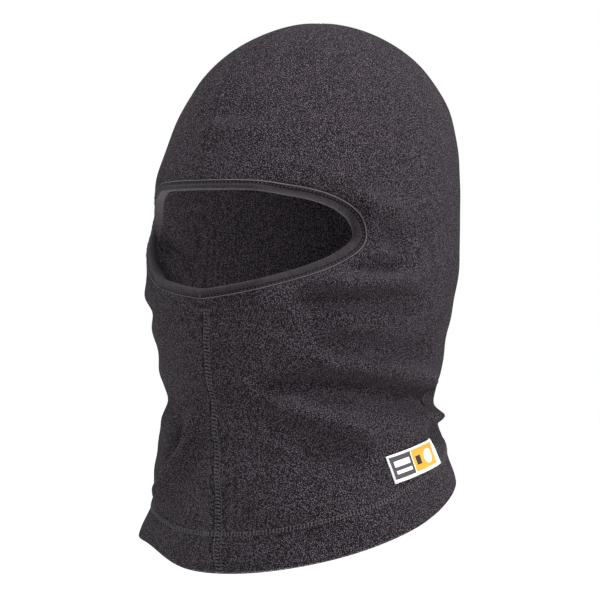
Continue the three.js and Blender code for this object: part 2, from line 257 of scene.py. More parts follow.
@dataclass(frozen=True)
class FaceOpening:
    """The outline of the face opening on the flattened cloth, to the fold of its binding."""

    rise: float = 24.5
    fall: float = 29.0
    brow_round: tuple[float, float] = (3.2, 0.47)
    chin_round: tuple[float, float] = (1.3, 0.6)
    tip_level: float = 1.0
    tip_angle: float = 59.8
    radius: float = 89.75
    # The bound edge curls in towards the face, most of all beside the temples.
    lip_depth: float = 8.0
    lip_reach: float = 7.0
    roll_height: float = 1.6
    roll_place: float = 12.0
    roll_reach: float = 8.0
    # The wearer's right side curls in less than the left one.
    right_share: float = 0.5
    lip_start: float = 0.34
    lip_end: float = 0.60
    map_half: tuple[int, int] = (150, 75)

    def edge(self, t: Array) -> Array:
        """Outline points: distance round the face, and height.

        Args:
            t: Radians, from the wearer's left tip over the brow.

        Returns:
            Rows of distance round the face and height.
        """
        share = np.abs(np.cos(t))
        top = self.tip_level + self.rise * (1 - share ** self.brow_round[0]) ** self.brow_round[1]
        bottom = self.tip_level - self.fall * (1 - share ** self.chin_round[0]) ** self.chin_round[1]
        reach = math.radians(self.tip_angle) * self.radius
        return np.stack([reach * np.cos(t), np.where(np.sin(t) >= 0, top, bottom)], axis=-1)

    def loop(self, count: int, distance: Array | float) -> Array:
        """Evenly spaced points round the outline, moved out into the cloth.

        Args:
            count: How many points.
            distance: How far out, one value or one for each point.

        Returns:
            Rows of distance round the face and height, from the left tip over the brow.
        """
        fine = self.edge(np.linspace(0, 2 * math.pi, 4001))
        steps = np.linalg.norm(np.diff(fine, axis=0), axis=1)
        travelled = np.concatenate([[0], np.cumsum(steps)])
        at = np.linspace(0, travelled[-1], count, endpoint=False)
        points = np.stack([np.interp(at, travelled, fine[:, k]) for k in (0, 1)], axis=-1)
        along = unit(np.roll(points, -1, axis=0) - np.roll(points, 1, axis=0))
        for _ in range(6):
            along = unit(np.roll(along, 1, axis=0) + along + np.roll(along, -1, axis=0))
        away = np.stack([along[:, 1], -along[:, 0]], axis=-1)
        return points + away * np.broadcast_to(distance, (count,))[:, None]

    def signed_gap(self, points: Array, distance: float) -> tuple[Array, Array]:
        """How far points lie outside the outline moved out by a distance.

        Args:
            points: Rows of distance round the face and height.
            distance: How far out the outline is moved.

        Returns:
            The gap, negative inside, and the nearest points of the moved outline.
        """
        loop = self.loop(480, distance)
        start, end = loop, np.roll(loop, -1, axis=0)
        gap, nearest = np.full(len(points), 1e9), np.zeros_like(points)
        inside = np.zeros(len(points), bool)
        for (ax, ay), (bx, by) in zip(start, end):
            crosses = (ay > points[:, 1]) != (by > points[:, 1])
            at = ax + (points[:, 1] - ay) * (bx - ax) / (by - ay if by != ay else 1e-9)
            inside ^= crosses & (points[:, 0] < at)
            t = ((points[:, 0] - ax) * (bx - ax) + (points[:, 1] - ay) * (by - ay))
            t = np.clip(t / max((bx - ax) ** 2 + (by - ay) ** 2, 1e-12), 0, 1)
            spot = np.stack([ax + t * (bx - ax), ay + t * (by - ay)], axis=-1)
            far = np.linalg.norm(points - spot, axis=1)
            closer = far < gap
            gap = np.where(closer, far, gap)
            nearest[closer] = spot[closer]
        return np.where(inside, -gap, gap), nearest

    @cached_property
    def distance_map(self) -> Array:
        """Distances from the outline, negative inside it, on a millimetre grid of the flat cloth.

        Returns:
            Rows up the cloth by columns round the face.
        """
        wide, tall = self.map_half
        across, up = np.meshgrid(np.arange(-wide, wide + 1.0), np.arange(-tall, tall + 1.0))
        gap, _ = self.signed_gap(np.stack([across.ravel(), up.ravel()], axis=-1), 0.0)
        return gap.reshape(across.shape)

    def distance_at(self, angle: Array, height: Array) -> Array:
        """Distances of points of the cloth from the fold of the binding.

        Args:
            angle: Radians from the front.
            height: Height above the origin.

        Returns:
            The distances, negative inside the opening.
        """
        wide, tall = self.map_half
        column = np.clip(angle * self.radius + wide, 0, 2 * wide - 0.001)
        row = np.clip(height + tall, 0, 2 * tall - 0.001)
        i, j = row.astype(int), column.astype(int)
        down, over = row - i, column - j
        near = self.distance_map[i, j] * (1 - over) + self.distance_map[i, j + 1] * over
        far = self.distance_map[i + 1, j] * (1 - over) + self.distance_map[i + 1, j + 1] * over
        return near * (1 - down) + far * down

    def lip(self, angle: Array, height: Array) -> Array:
        """How far the cloth beside the opening curls in.

        Args:
            angle: Radians from the front.
            height: Height above the origin.

        Returns:
            The depth at each point.
        """
        share = np.abs(angle) / math.radians(self.tip_angle)
        beside = smoothstep((share - self.lip_start) / (self.lip_end - self.lip_start))
        away = np.maximum(self.distance_at(angle, height), 0.0)
        curl = self.lip_depth * swell(away, 0.0, self.lip_reach)
        roll = self.roll_height * swell(away, self.roll_place, self.roll_reach)
        return beside * (curl - roll) * np.where(angle < 0, self.right_share, 1.0)


# ---- The worn form -------------------------------------------------------------------------


@dataclass(frozen=True)
class Fold:
    """A ridge or a valley in the cloth, along a route of (angle in degrees, height)."""

    route: tuple[tuple[float, float], ...]
    lift: float
    width: float
    start_taper: float = 25.0
    end_taper: float = 25.0

    def mirrored(self, drop: float, share: float) -> "Fold":
        """The matching fold on the other side of the head, a little lower and shallower."""
        route = tuple((-angle, height - drop) for angle, height in self.route)
        return replace(self, route=route, lift=self.lift * share)

    def lift_at(self, along: Array, height: Array, radius: float) -> Array:
        """How far the fold lifts the cloth.

        Args:
            along: Distance round the head from the front.
            height: Height above the origin.
            radius: Radius that turns an angle into a distance round the head.

        Returns:
            The lift at each point.
        """
        stations = np.array([(math.radians(a) * radius, h) for a, h in self.route])
        lengths = np.linalg.norm(np.diff(stations, axis=0), axis=1)
        travelled = np.concatenate([[0.0], np.cumsum(lengths)])
        nearest = np.full(along.shape, 1e9)
        place = np.zeros(along.shape)
        for start, end, length, before in zip(stations[:-1], stations[1:], lengths, travelled):
            step = (end - start) / length
            t = np.clip((along - start[0]) * step[0] + (height - start[1]) * step[1], 0.0, length)
            gap = np.hypot(along - start[0] - t * step[0], height - start[1] - t * step[1])
            place = np.where(gap < nearest, before + t, place)
            nearest = np.minimum(nearest, gap)
        ends = smoothstep(place / self.start_taper)
        ends = ends * smoothstep((travelled[-1] - place) / self.end_taper)
        return self.lift * ends * swell(nearest, 0.0, self.width)


@dataclass(frozen=True)
class Section:
    """One level cross-section of the worn neck, at a drop below the origin."""

    drop: float
    front: float
    back: float
    half: float
    square: float


@dataclass(frozen=True)
class Swelling:
    """A broad rise, or a hollow where its lift is negative, of the stuffed hood."""

    lift: float
    angle: float
    spread: float
    height: float
    tall: float
    both_sides: bool = False

    def lift_at(self, angle: Array, height: Array) -> Array:
        """How far the swelling lifts the cloth.

        Args:
            angle: Radians from the front.
            height: Height above the origin.

        Returns:
            The lift at each point.
        """
        turn = np.abs(angle) if self.both_sides else angle
        return self.lift * swell(turn, self.angle, self.spread) * swell(height, self.height, self.tall)


LEFT_FOLDS = (
    Fold(((57, 19), (70, 15.5), (84, 8)), 1.6, 6, 8, 20),
    Fold(((62, 7), (76, -1), (86, -4)), -1.8, 7, 8, 20),
    Fold(((50, -16.5), (68, -17.5), (90, -17)), -1.8, 4.5, 10, 30),
    Fold(((38, -22), (54, -24.8), (94, -22.5)), 2.4, 5.5, 15, 30),
    Fold(((31, -32.5), (52, -34), (95, -37)), -2.2, 5.5, 15, 30),
    Fold(((40, -43), (90, -49)), 1.6, 8, 25, 30),
    Fold(((37, -55), (57, -61), (80, -64), (106, -60)), -2.0, 6.5, 25, 25),
    Fold(((37, -65), (56, -68), (81, -75), (108, -82), (120, -80)), 2.5, 6.5, 20, 32),
    Fold(((16, -78), (31, -82.4), (58, -82), (83, -88.5), (112, -92), (134, -88)), -3.0, 6, 25, 20),
    Fold(((22, -88), (38, -95), (54, -102), (74, -112)), 3.0, 7.5, 20, 25),
    Fold(((92, -95), (112, -101), (138, -101)), 2.5, 5.4, 28, 25),
    Fold(((31, -105), (42, -112), (58, -118), (72, -122)), -2.2, 8, 22, 22),
    Fold(((98, -112), (112, -110), (134, -108)), -2.2, 5.5, 18, 20),
)
FRONT_FOLDS = (
    Fold(((-10, 59), (28, 57.5)), 0.9, 6, 20, 15),
    Fold(((-14, 68), (27, 66.5)), -0.8, 6, 20, 15),
    Fold(((-5, -88), (-12.8, -111), (-26, -132), (-41, -154)), 2.6, 6, 22, 20),
    Fold(((-14, -95), (-24, -112), (-36, -128)), -2.4, 7, 20, 20),
    Fold(((-3, -130), (-1.5, -154), (0, -180)), 1.0, 4, 20, 10),
    Fold(((1.5, 117), (1.5, 80), (1.5, 36)), 0.35, 2.6, 8, 15),
    Fold(((-42, -84), (-58, -86), (-74, -84)), -1.7, 14, 14, 14),
)
# The right side repeats the left folds lower down and at a share of their depth.
RIGHT_DROP = 9.0
RIGHT_SHARE = 0.3
BACK_FOLDS = (
    Fold(((148, -66), (180, -70), (212, -66)), -2.0, 6, 20, 20),
    Fold(((142, -76), (176, -80), (206, -77)), 2.4, 6.5, 20, 20),
    Fold(((150, -92), (186, -90), (216, -94)), -2.2, 6, 20, 20),
)


# Where the right cheek turns the corner to the front, in radians: how far round, and how broad.
RIGHT_CORNER = (-0.95, 0.36)
LABEL_PLACE = (1.57, 0.36)
SWELLINGS = (
    # The back of the crown, the cheeks and the nape, on both sides.
    Swelling(2.4, 2.2, 0.75, 75, 38, both_sides=True),
    Swelling(1.6, 1.05, 0.35, -4, 20, both_sides=True),
    Swelling(2.4, 2.2, 0.6, -134, 26, both_sides=True),
    # The right cheek, then the waist, the neck and the brow at the right corner.
    Swelling(4.0, -1.15, 0.22, -6, 13),
    Swelling(-2.6, *RIGHT_CORNER, -149, 11),
    Swelling(3.2, *RIGHT_CORNER, -127, 10),
    Swelling(-2.0, *RIGHT_CORNER, 48, 26),
    # Above and below the woven label.
    Swelling(2.2, *LABEL_PLACE, -111, 9),
    Swelling(-1.6, *LABEL_PLACE, -136, 9),
)


@dataclass(frozen=True)
class HoodForm:
    """The surface that the outer face of the cloth follows, with every fold in it."""

    crown_rise: float
    crown_setback: float = 16.0
    face_reach: float = 96.0
    back_reach: float = 99.0
    half_breadth: float = 83.5
    throat_drop: float = 85.0
    hem_drop: float = HEM_DROP
    hem_slope: float = 0.33
    girth_radius: float = 88.0
    fold_depth: float = 2.6
    flare: float = 3.2
    flare_from: float = -150.0
    folds: tuple[Fold, ...] = ()
    opening: FaceOpening = FaceOpening()
    # The back of the neck, in degrees and height, where the care tag needs a clear wall behind it.
    tag_place: tuple[float, float] = (160.0, -90.0)

    def sections(self) -> tuple[Section, ...]:
        """The cross-sections from the origin down to the hem.

        Returns:
            The sections, from the top down.
        """
        f, b, w, t = self.face_reach, self.back_reach, self.half_breadth, self.throat_drop
        below = self.hem_drop - t
        return (
            Section(0.0, f, b, w, 0.0),
            Section(t * 0.35, f - 2, b - 4, w - 0.5, 0.03),
            Section(t * 0.7, f - 6, b - 12, w - 4.5, 0.0),
            Section(t, f - 11, b - 16, w - 8.5, 0.0),
            Section(t + 0.36 * below, f - 11, b - 25, w - 6.5, 0.03),
            Section(t + 0.71 * below, f - 10, b - 24, w + 1, 0.05),
            Section(self.hem_drop, f - 9, b - 22, w + 6.5, 0.05),
        )

    def _through_sections(self, drop: Array, key: str) -> Array:
        """A smooth curve through one size of the sections, read at many drops.

        Args:
            drop: Drops below the origin.
            key: Name of the section's size.

        Returns:
            The size at each drop.
        """
        sections = self.sections()
        drops = np.array([s.drop for s in sections])
        values = np.array([getattr(s, key) for s in sections])
        slopes = np.zeros(len(sections))
        slopes[1:-1] = (values[2:] - values[:-2]) / (drops[2:] - drops[:-2])
        slopes[-1] = (values[-1] - values[-2]) / (drops[-1] - drops[-2])
        i = np.clip(np.searchsorted(drops, drop, side="left") - 1, 0, len(sections) - 2)
        span = drops[i + 1] - drops[i]
        t = (drop - drops[i]) / span
        return ((2 * t**3 - 3 * t**2 + 1) * values[i] + (t**3 - 2 * t**2 + t) * span * slopes[i]
                + (3 * t**2 - 2 * t**3) * values[i + 1] + (t**3 - t**2) * span * slopes[i + 1])

    def smooth_point(self, angle: Array, level: Array, inset: Array | float = 0.0) -> Array:
        """Points of the smooth form, before any fold.

        Args:
            angle: Radians from the front.
            level: Level of the cross-section, which the neck tilts with the hem.
            inset: How far inside the outer face of the cloth.

        Returns:
            Rows of X, Y, Z.
        """
        angle, level, inset = np.broadcast_arrays(angle, level, inset)
        drop = np.maximum(-level, 0.0)
        share = np.clip(level / (self.crown_rise - inset), 0.0, 1.0)
        lengthwise = np.sqrt(np.maximum(1 - share**3, 0.0))
        crosswise = np.sqrt(np.maximum(1 - share**2.05, 0.0))
        lean = self.crown_setback * share**2 * (3 - 2 * share)
        front = (self._through_sections(drop, "front") - inset) * lengthwise - lean
        back = (self._through_sections(drop, "back") - inset) * lengthwise + lean
        half = (self._through_sections(drop, "half") - inset) * crosswise
        square = self._through_sections(drop, "square")
        ahead = np.cos(angle)
        y = (back - front) / 2 - (back + front) / 2 * ahead
        x = half * np.sin(angle) * (1 + square * np.maximum(ahead, 0.0))
        slope = self.hem_slope * (drop / self.hem_drop) ** 1.5
        return np.stack([x, y, level + slope * y], axis=-1)

    def level_at(self, angle: Array, height: Array) -> Array:
        """The level whose smooth point lies at a true height.

        Args:
            angle: Radians from the front.
            height: Height above the origin.

        Returns:
            The levels.
        """
        level = np.array(np.broadcast_to(height, np.broadcast(angle, height).shape), float)
        for _ in range(8):
            level = level + height - self.smooth_point(angle, level)[..., 2]
        return level

    def hem_level(self, angle: Array, above: Array | float) -> Array:
        """The level that lies a height above the plane of the hem, all round.

        Args:
            angle: Radians from the front.
            above: Height above the plane of the hem.

        Returns:
            The levels.
        """
        level = np.full(np.shape(angle), above - self.hem_drop, float)
        for _ in range(8):
            point = self.smooth_point(angle, level)
            level = level + (above - self.hem_drop + self.hem_slope * point[..., 1]) - point[..., 2]
        return level

    def outward(self, angle: Array, level: Array) -> Array:
        """Outward directions of the smooth form.

        Args:
            angle: Radians from the front.
            level: Level of the cross-section.

        Returns:
            Rows of unit vectors.
        """
        step = 0.004
        low, high = level - 0.4, np.minimum(level + 0.4, self.crown_rise * 0.9999)
        round_it = self.smooth_point(angle + step, level) - self.smooth_point(angle - step, level)
        up = self.smooth_point(angle, high) - self.smooth_point(angle, low)
        return unit(np.cross(round_it, up))

    def fold_lift(self, angle: Array, height: Array) -> Array:
        """How far all the folds and the slack of the cloth lift it.

        Args:
            angle: Radians from the front.
            height: Height above the origin.

        Returns:
            The lift at each point.
        """
        along = angle * self.girth_radius
        radius = self.girth_radius
        total = self.fold_depth * sum(fold.lift_at(along, height, radius) for fold in self.folds)
        total = (total + self.slack(angle, height)) * smoothstep(self.opening.distance_at(angle, height) / 14)
        tag_angle, tag_height = self.tag_place
        from_tag = np.hypot((angle - math.radians(tag_angle)) * self.girth_radius, height - tag_height)
        behind_tag = smoothstep((45 - from_tag) / 20)
        total = total * (1 - behind_tag) + np.maximum(total, 0.0) * behind_tag
        return total + self.shape(angle, height) - self.opening.lip(angle, height)

    def shape(self, angle: Array, height: Array) -> Array:
        """Broad swellings of the stuffed hood that the plain sections leave out.

        Args:
            angle: Radians from the front.
            height: Height above the origin.

        Returns:
            The lift at each point.
        """
        flare = self.flare * swell(angle, *RIGHT_CORNER) * smoothstep((self.flare_from - height) / 22)
        return flare + sum(swelling.lift_at(angle, height) for swelling in SWELLINGS)

    def slack(self, angle: Array, height: Array) -> Array:
        """Small uneven ripples, mostly level, that loose knitted cloth has below the face.

        Args:
            angle: Radians from the front.
            height: Height above the origin.

        Returns:
            The lift at each point.
        """
        random = np.random.default_rng(7)
        loose = smoothstep((-20 - height) / 50) * 0.75 + 0.25
        total = np.zeros(np.shape(angle))
        for _ in range(14):
            turns, rise = random.integers(1, 5), random.uniform(0.10, 0.30)
            phase, size = random.uniform(0, 2 * math.pi), random.uniform(0.08, 0.24)
            total = total + size * np.sin(turns * angle + rise * height + phase)
        return total * loose

    def cloth(self, angle: Array, level: Array, inset: Array | float = 0.0) -> Array:
        """Points of the folded cloth, some way inside its outer face.

        Args:
            angle: Radians from the front.
            level: Level of the cross-section.
            inset: How far inside the outer face of the cloth.

        Returns:
            Rows of X, Y, Z.
        """
        angle, level = np.broadcast_arrays(angle, level)
        height = self.smooth_point(angle, level)[..., 2]
        lift = self.fold_lift(angle, height)
        return self.smooth_point(angle, level, inset) + self.outward(angle, level) * lift[..., None]


# ---- Finishes ------------------------------------------------------------------------------


class NodeBuilder:
    """Small helper that adds shader nodes and links them."""

    def __init__(self, tree: bpy.types.NodeTree) -> None:
        """Keeps the node tree that the nodes go into."""
        self.tree = tree

    def add(self, kind: str, inputs: dict | None = None, **settings: object) -> bpy.types.Node:
        """Adds a node.

        Args:
            kind: The node's type name.
            inputs: Input name or number to a value or to an output socket.
            **settings: Properties of the node.

        Returns:
            The node.
        """
        node = self.tree.nodes.new(kind)
        for key, value in settings.items():
            setattr(node, key, value)
        for key, value in (inputs or {}).items():
            if isinstance(value, bpy.types.NodeSocket):
                self.tree.links.new(value, node.inputs[key])
            else:
                node.inputs[key].default_value = value
        return node

    def math(self, operation: str, a: object, b: object = 0.0) -> bpy.types.NodeSocket:
        """A math node's result."""
        return self.add("ShaderNodeMath", {0: a, 1: b}, operation=operation).outputs[0]

    def mix(self, share: object, a: object, b: object) -> bpy.types.NodeSocket:
        """Two colours mixed by a share."""
        return self.add("ShaderNodeMix", {0: share, 6: a, 7: b}, data_type="RGBA").outputs[2]


def cloth_grain_group() -> bpy.types.NodeTree:
    """Node group of lumpy pile: a mask of tuft tips, a slow mottle and a height.

    Returns:
        The group, built once and shared by every cloth.
    """
    found = bpy.data.node_groups.get("Cloth grain")
    if found:
        return found
    group = bpy.data.node_groups.new("Cloth grain", "ShaderNodeTree")
    for name, kind in (("Vector", "NodeSocketVector"), ("Tuft size", "NodeSocketFloat"),
                       ("Unevenness", "NodeSocketFloat")):
        group.interface.new_socket(name, in_out="INPUT", socket_type=kind)
    for name in ("Tips", "Mottle", "Height"):
        group.interface.new_socket(name, in_out="OUTPUT", socket_type="NodeSocketFloat")
    build = NodeBuilder(group)
    entry, leave = group.nodes.new("NodeGroupInput"), group.nodes.new("NodeGroupOutput")
    scale = build.math("DIVIDE", 1.0, entry.outputs["Tuft size"])
    warp = build.add("ShaderNodeTexNoise", {"Vector": entry.outputs["Vector"], "Scale": scale, "Detail": 2.0})
    pushed = build.add("ShaderNodeVectorMath", {0: warp.outputs["Color"], 1: (0.5, 0.5, 0.5)},
                       operation="SUBTRACT")
    reach = build.math("MULTIPLY", entry.outputs["Unevenness"], entry.outputs["Tuft size"])
    moved = build.add("ShaderNodeVectorMath", {0: pushed.outputs[0], "Scale": reach}, operation="SCALE")
    place = build.add("ShaderNodeVectorMath", {0: entry.outputs["Vector"], 1: moved.outputs[0]})
    tufts = build.add("ShaderNodeTexVoronoi", {"Vector": place.outputs[0], "Scale": scale, "Randomness": 0.8})
    fine_scale = build.math("MULTIPLY", scale, 2.6)
    fibres = build.add("ShaderNodeTexNoise", {"Vector": place.outputs[0], "Scale": fine_scale, "Detail": 3.0,
                                              "Roughness": 0.65})
    slow_scale = build.math("MULTIPLY", scale, 0.16)
    slow = build.add("ShaderNodeTexNoise", {"Vector": entry.outputs["Vector"], "Scale": slow_scale,
                                            "Detail": 2.0})
    lumps = build.math("SUBTRACT", 1.0, build.math("MULTIPLY", tufts.outputs["Distance"], 1.25))
    height = build.math("ADD", build.math("MULTIPLY", lumps, 0.8),
                        build.math("MULTIPLY", fibres.outputs["Fac"], 0.45))
    # The tips mask follows the height, so colours mixed by it are darker in the pits between the tufts:
    # painted shade.
    tips = build.add("ShaderNodeMapRange", {"Value": height, "From Min": 0.585, "From Max": 0.90})
    for name, socket in (("Tips", tips.outputs[0]), ("Mottle", slow.outputs["Fac"]), ("Height", height)):
        group.links.new(socket, leave.inputs[name])
    return group


Colour = tuple[float, float, float, float]


@dataclass(frozen=True)
class ClothFinish:
    """A knitted or woven cloth: its colours, its tufts with painted shade down between them, and its sheen.
    """

    name: str
    # shade is the colour down between the tufts, mostly painted shade in the pits; tip is the colour of the
    # tuft tips.
    shade: Colour
    tip: Colour
    tuft_size: float
    tuft_depth: float
    unevenness: float = 1.0
    roughness: float = 0.95
    sheen: float = 0.35
    sheen_roughness: float = 0.5
    sheen_tint: Colour = (0.8, 0.78, 0.85, 1.0)

    def material(self) -> bpy.types.Material:
        """The material, made once.

        Returns:
            The material.
        """
        found = bpy.data.materials.get(self.name)
        if found:
            return found
        material = bpy.data.materials.new(self.name)
        material.use_nodes = True
        tree = material.node_tree
        tree.nodes.clear()
        build = NodeBuilder(tree)
        colour, height = self.pattern(build)
        bump = build.add("ShaderNodeBump", {"Height": height, "Strength": 1.0,
                                            "Distance": self.tuft_depth * MM})
        shader = build.add("ShaderNodeBsdfPrincipled", {
            "Base Color": colour, "Roughness": self.roughness, "Sheen Weight": self.sheen,
            "Sheen Roughness": self.sheen_roughness, "Sheen Tint": self.sheen_tint,
            "Specular IOR Level": 0.15, "Normal": bump.outputs["Normal"]})
        build.add("ShaderNodeOutputMaterial", {"Surface": shader.outputs["BSDF"]})
        return material

    def grain(self, build: NodeBuilder) -> bpy.types.Node:
        """The shared grain, at this cloth's scale, on object coordinates.

        Args:
            build: The builder of the material's nodes.

        Returns:
            The grain's node.
        """
        place = build.add("ShaderNodeTexCoord")
        grain = build.add("ShaderNodeGroup", node_tree=cloth_grain_group())
        build.tree.links.new(place.outputs["Object"], grain.inputs["Vector"])
        grain.inputs["Tuft size"].default_value = self.tuft_size * MM
        grain.inputs["Unevenness"].default_value = self.unevenness
        return grain

    def pattern(self, build: NodeBuilder) -> tuple[bpy.types.NodeSocket, bpy.types.NodeSocket]:
        """The colour and the height of the surface.

        Args:
            build: The builder of the material's nodes.

        Returns:
            The sockets of the colour and of the height.
        """
        grain = self.grain(build)
        # Near-black in the pits between the tufts, as painted shade, and pale on the tips: the pile's grain
        # with its shading painted in.
        tufts = build.mix(grain.outputs["Tips"], self.shade, self.tip)
        worn = build.add("ShaderNodeMapRange", {"Value": grain.outputs["Mottle"], "From Min": 0.3,
                                                "From Max": 0.7, "To Min": 0.88, "To Max": 1.12})
        scaled = build.add("ShaderNodeVectorMath", {0: tufts, "Scale": worn.outputs[0]}, operation="SCALE")
        return scaled.outputs[0], grain.outputs["Height"]


@dataclass(frozen=True)
class LabelFinish(ClothFinish):
    """A woven label: a white edge, a grey half and an amber half with plain geometric marks."""

    grey: Colour = (0.052, 0.048, 0.056, 1.0)
    amber: Colour = (0.66, 0.29, 0.030, 1.0)
    white: Colour = (0.72, 0.72, 0.71, 1.0)
    dark: Colour = (0.02, 0.02, 0.02, 1.0)
    proportion: float = 44.0 / 15.0
    # Boxes on the label, as left, right, low and high shares of it.
    divider: float = 0.41
    divider_line: tuple[float, ...] = (0.402, 0.418, 0.0, 1.0)
    upper_bar: tuple[float, ...] = (0.08, 0.36, 0.53, 0.74)
    lower_bar: tuple[float, ...] = (0.08, 0.36, 0.28, 0.40)
    square: tuple[float, ...] = (0.475, 0.575, 0.34, 0.66)
    inside_edge: tuple[float, ...] = (0.022, 0.89, 0.12, 0.93)
    disc_at: float = 0.735
    disc_radius: float = 0.26

    def pattern(self, build: NodeBuilder) -> tuple[bpy.types.NodeSocket, bpy.types.NodeSocket]:
        """The woven picture, laid out on the label's own UV map, over the shared grain.

        Args:
            build: The builder of the material's nodes.

        Returns:
            The sockets of the colour and of the height.
        """
        grain = self.grain(build)
        uv = build.add("ShaderNodeUVMap", uv_map="label").outputs["UV"]
        parts = build.add("ShaderNodeSeparateXYZ", {0: uv})
        u, v = parts.outputs["X"], parts.outputs["Y"]

        def between(value: bpy.types.NodeSocket, low: float, high: float) -> bpy.types.NodeSocket:
            """One inside a span, and 0 outside it."""
            return build.math("MULTIPLY", build.math("GREATER_THAN", value, low),
                              build.math("LESS_THAN", value, high))

        def box(left: float, right: float, low: float, high: float) -> bpy.types.NodeSocket:
            """One inside a box of the label."""
            return build.math("MULTIPLY", between(u, left, right), between(v, low, high))

        # Two plain white bars on the grey half, and a dark square on the amber half.
        ground = build.mix(build.math("GREATER_THAN", u, self.divider), self.grey, self.amber)
        bars = build.math("ADD", box(*self.lower_bar), box(*self.upper_bar))
        bars = build.math("MAXIMUM", bars, box(*self.divider_line))
        picture = build.mix(bars, ground, self.white)
        picture = build.mix(box(*self.square), picture, self.dark)
        # A plain white disc on the amber half.
        across = build.math("MULTIPLY", build.math("SUBTRACT", u, self.disc_at), self.proportion)
        up = build.math("SUBTRACT", v, 0.5)
        far = build.math("SQRT", build.math("ADD", build.math("MULTIPLY", across, across),
                                            build.math("MULTIPLY", up, up)))
        picture = build.mix(build.math("LESS_THAN", far, self.disc_radius), picture, self.white)
        edge = build.math("SUBTRACT", 1.0, box(*self.inside_edge))
        picture = build.mix(edge, picture, self.white)
        rib = build.math("SINE", build.math("MULTIPLY", v, 150.0))
        shade = build.add("ShaderNodeMapRange", {"Value": rib, "From Min": -1.0, "From Max": 1.0,
                                                 "To Min": 0.82, "To Max": 1.05})
        lit = build.add("ShaderNodeVectorMath", {0: picture, "Scale": shade.outputs[0]}, operation="SCALE")
        height = build.math("ADD", build.math("MULTIPLY", rib, 0.25), grain.outputs["Height"])
        return lit.outputs[0], height


@dataclass(frozen=True)
class BindingFinish(ClothFinish):
    """Smooth knitted strip with a pale painted highlight along its outer edge and near-black painted shade in
    the needle groove beside it.
    """

    needle_at: float = 4.2
    groove_half: float = 0.55
    edge_highlight_from: float = 4.85
    rib_pitch: float = 0.55
    groove_shade_share: float = 0.9
    # Near-black painted shade in the needle groove, and a pale painted highlight along the outer edge where
    # the fold catches the light.
    groove_shade_colour: Colour = (0.004, 0.0035, 0.004, 1.0)
    edge_highlight_share: float = 0.95
    edge_highlight_colour: Colour = (0.15, 0.13, 0.148, 1.0)

    def pattern(self, build: NodeBuilder) -> tuple[bpy.types.NodeSocket, bpy.types.NodeSocket]:
        """Fine ribs across the strip, the painted highlight on its edge and the painted shade in its groove,
        laid out in millimetres on its UV map.

        Args:
            build: The builder of the material's nodes.

        Returns:
            The sockets of the colour and of the height.
        """
        colour, height = super().pattern(build)
        uv = build.add("ShaderNodeUVMap", uv_map="band").outputs["UV"]
        parts = build.add("ShaderNodeSeparateXYZ", {0: uv})
        along, across = parts.outputs["X"], parts.outputs["Y"]
        rib = build.math("SINE", build.math("MULTIPLY", along, 2 * math.pi / self.rib_pitch))
        height = build.math("ADD", height, build.math("MULTIPLY", rib, 0.3))
        # A pale band along the outer edge: a painted highlight where the folded edge catches the light.
        edge = build.add("ShaderNodeMapRange", {"Value": across, "From Min": self.edge_highlight_from,
                                                "From Max": self.edge_highlight_from + 0.5})
        # A near-black band over the needle groove: painted shade in that recess.
        off = build.math("ABSOLUTE", build.math("SUBTRACT", across, self.needle_at))
        groove_shade = build.add("ShaderNodeMapRange", {
            "Value": off, "From Min": self.groove_half, "From Max": self.groove_half + 0.5,
            "To Min": self.groove_shade_share, "To Max": 0.0})
        colour = build.mix(groove_shade.outputs[0], colour, self.groove_shade_colour)
        share = build.math("MULTIPLY", edge.outputs[0], self.edge_highlight_share)
        return build.mix(share, colour, self.edge_highlight_colour), height


FLEECE = ClothFinish(
    "Charcoal microfleece", shade=(0.0020, 0.0015, 0.0020, 1), tip=(0.215, 0.159, 0.210, 1),
    tuft_size=0.74, tuft_depth=1.9, unevenness=0.5, sheen=0.05)
JERSEY = BindingFinish(
    "Charcoal binding jersey", shade=(0.016, 0.013, 0.016, 1), tip=(0.064, 0.053, 0.063, 1),
    tuft_size=0.5, tuft_depth=0.25, unevenness=0.6, roughness=0.9, sheen=0.06, sheen_roughness=0.4)
DARK_THREAD = ClothFinish(
    "Charcoal thread", shade=(0.040, 0.037, 0.040, 1), tip=(0.150, 0.136, 0.148, 1),
    tuft_size=0.3, tuft_depth=0.08, unevenness=0.4, roughness=0.55, sheen=0.2, sheen_roughness=0.4)
PALE_THREAD = replace(
    DARK_THREAD, name="White thread", shade=(0.55, 0.55, 0.54, 1), tip=(0.82, 0.82, 0.8, 1))
WOVEN_LABEL = LabelFinish(
    "Woven label", shade=(0, 0, 0, 1), tip=(0, 0, 0, 1),
    tuft_size=0.35, tuft_depth=0.10, unevenness=0.4, roughness=0.7, sheen=0.1, sheen_roughness=0.4)
CARE_TAPE = ClothFinish(
    "Off-white satin tape", shade=(0.62, 0.61, 0.58, 1), tip=(0.78, 0.77, 0.74, 1),
    tuft_size=0.4, tuft_depth=0.06, unevenness=0.4, roughness=0.5, sheen=0.15, sheen_roughness=0.3)


# ---- Stitches ------------------------------------------------------------------------------


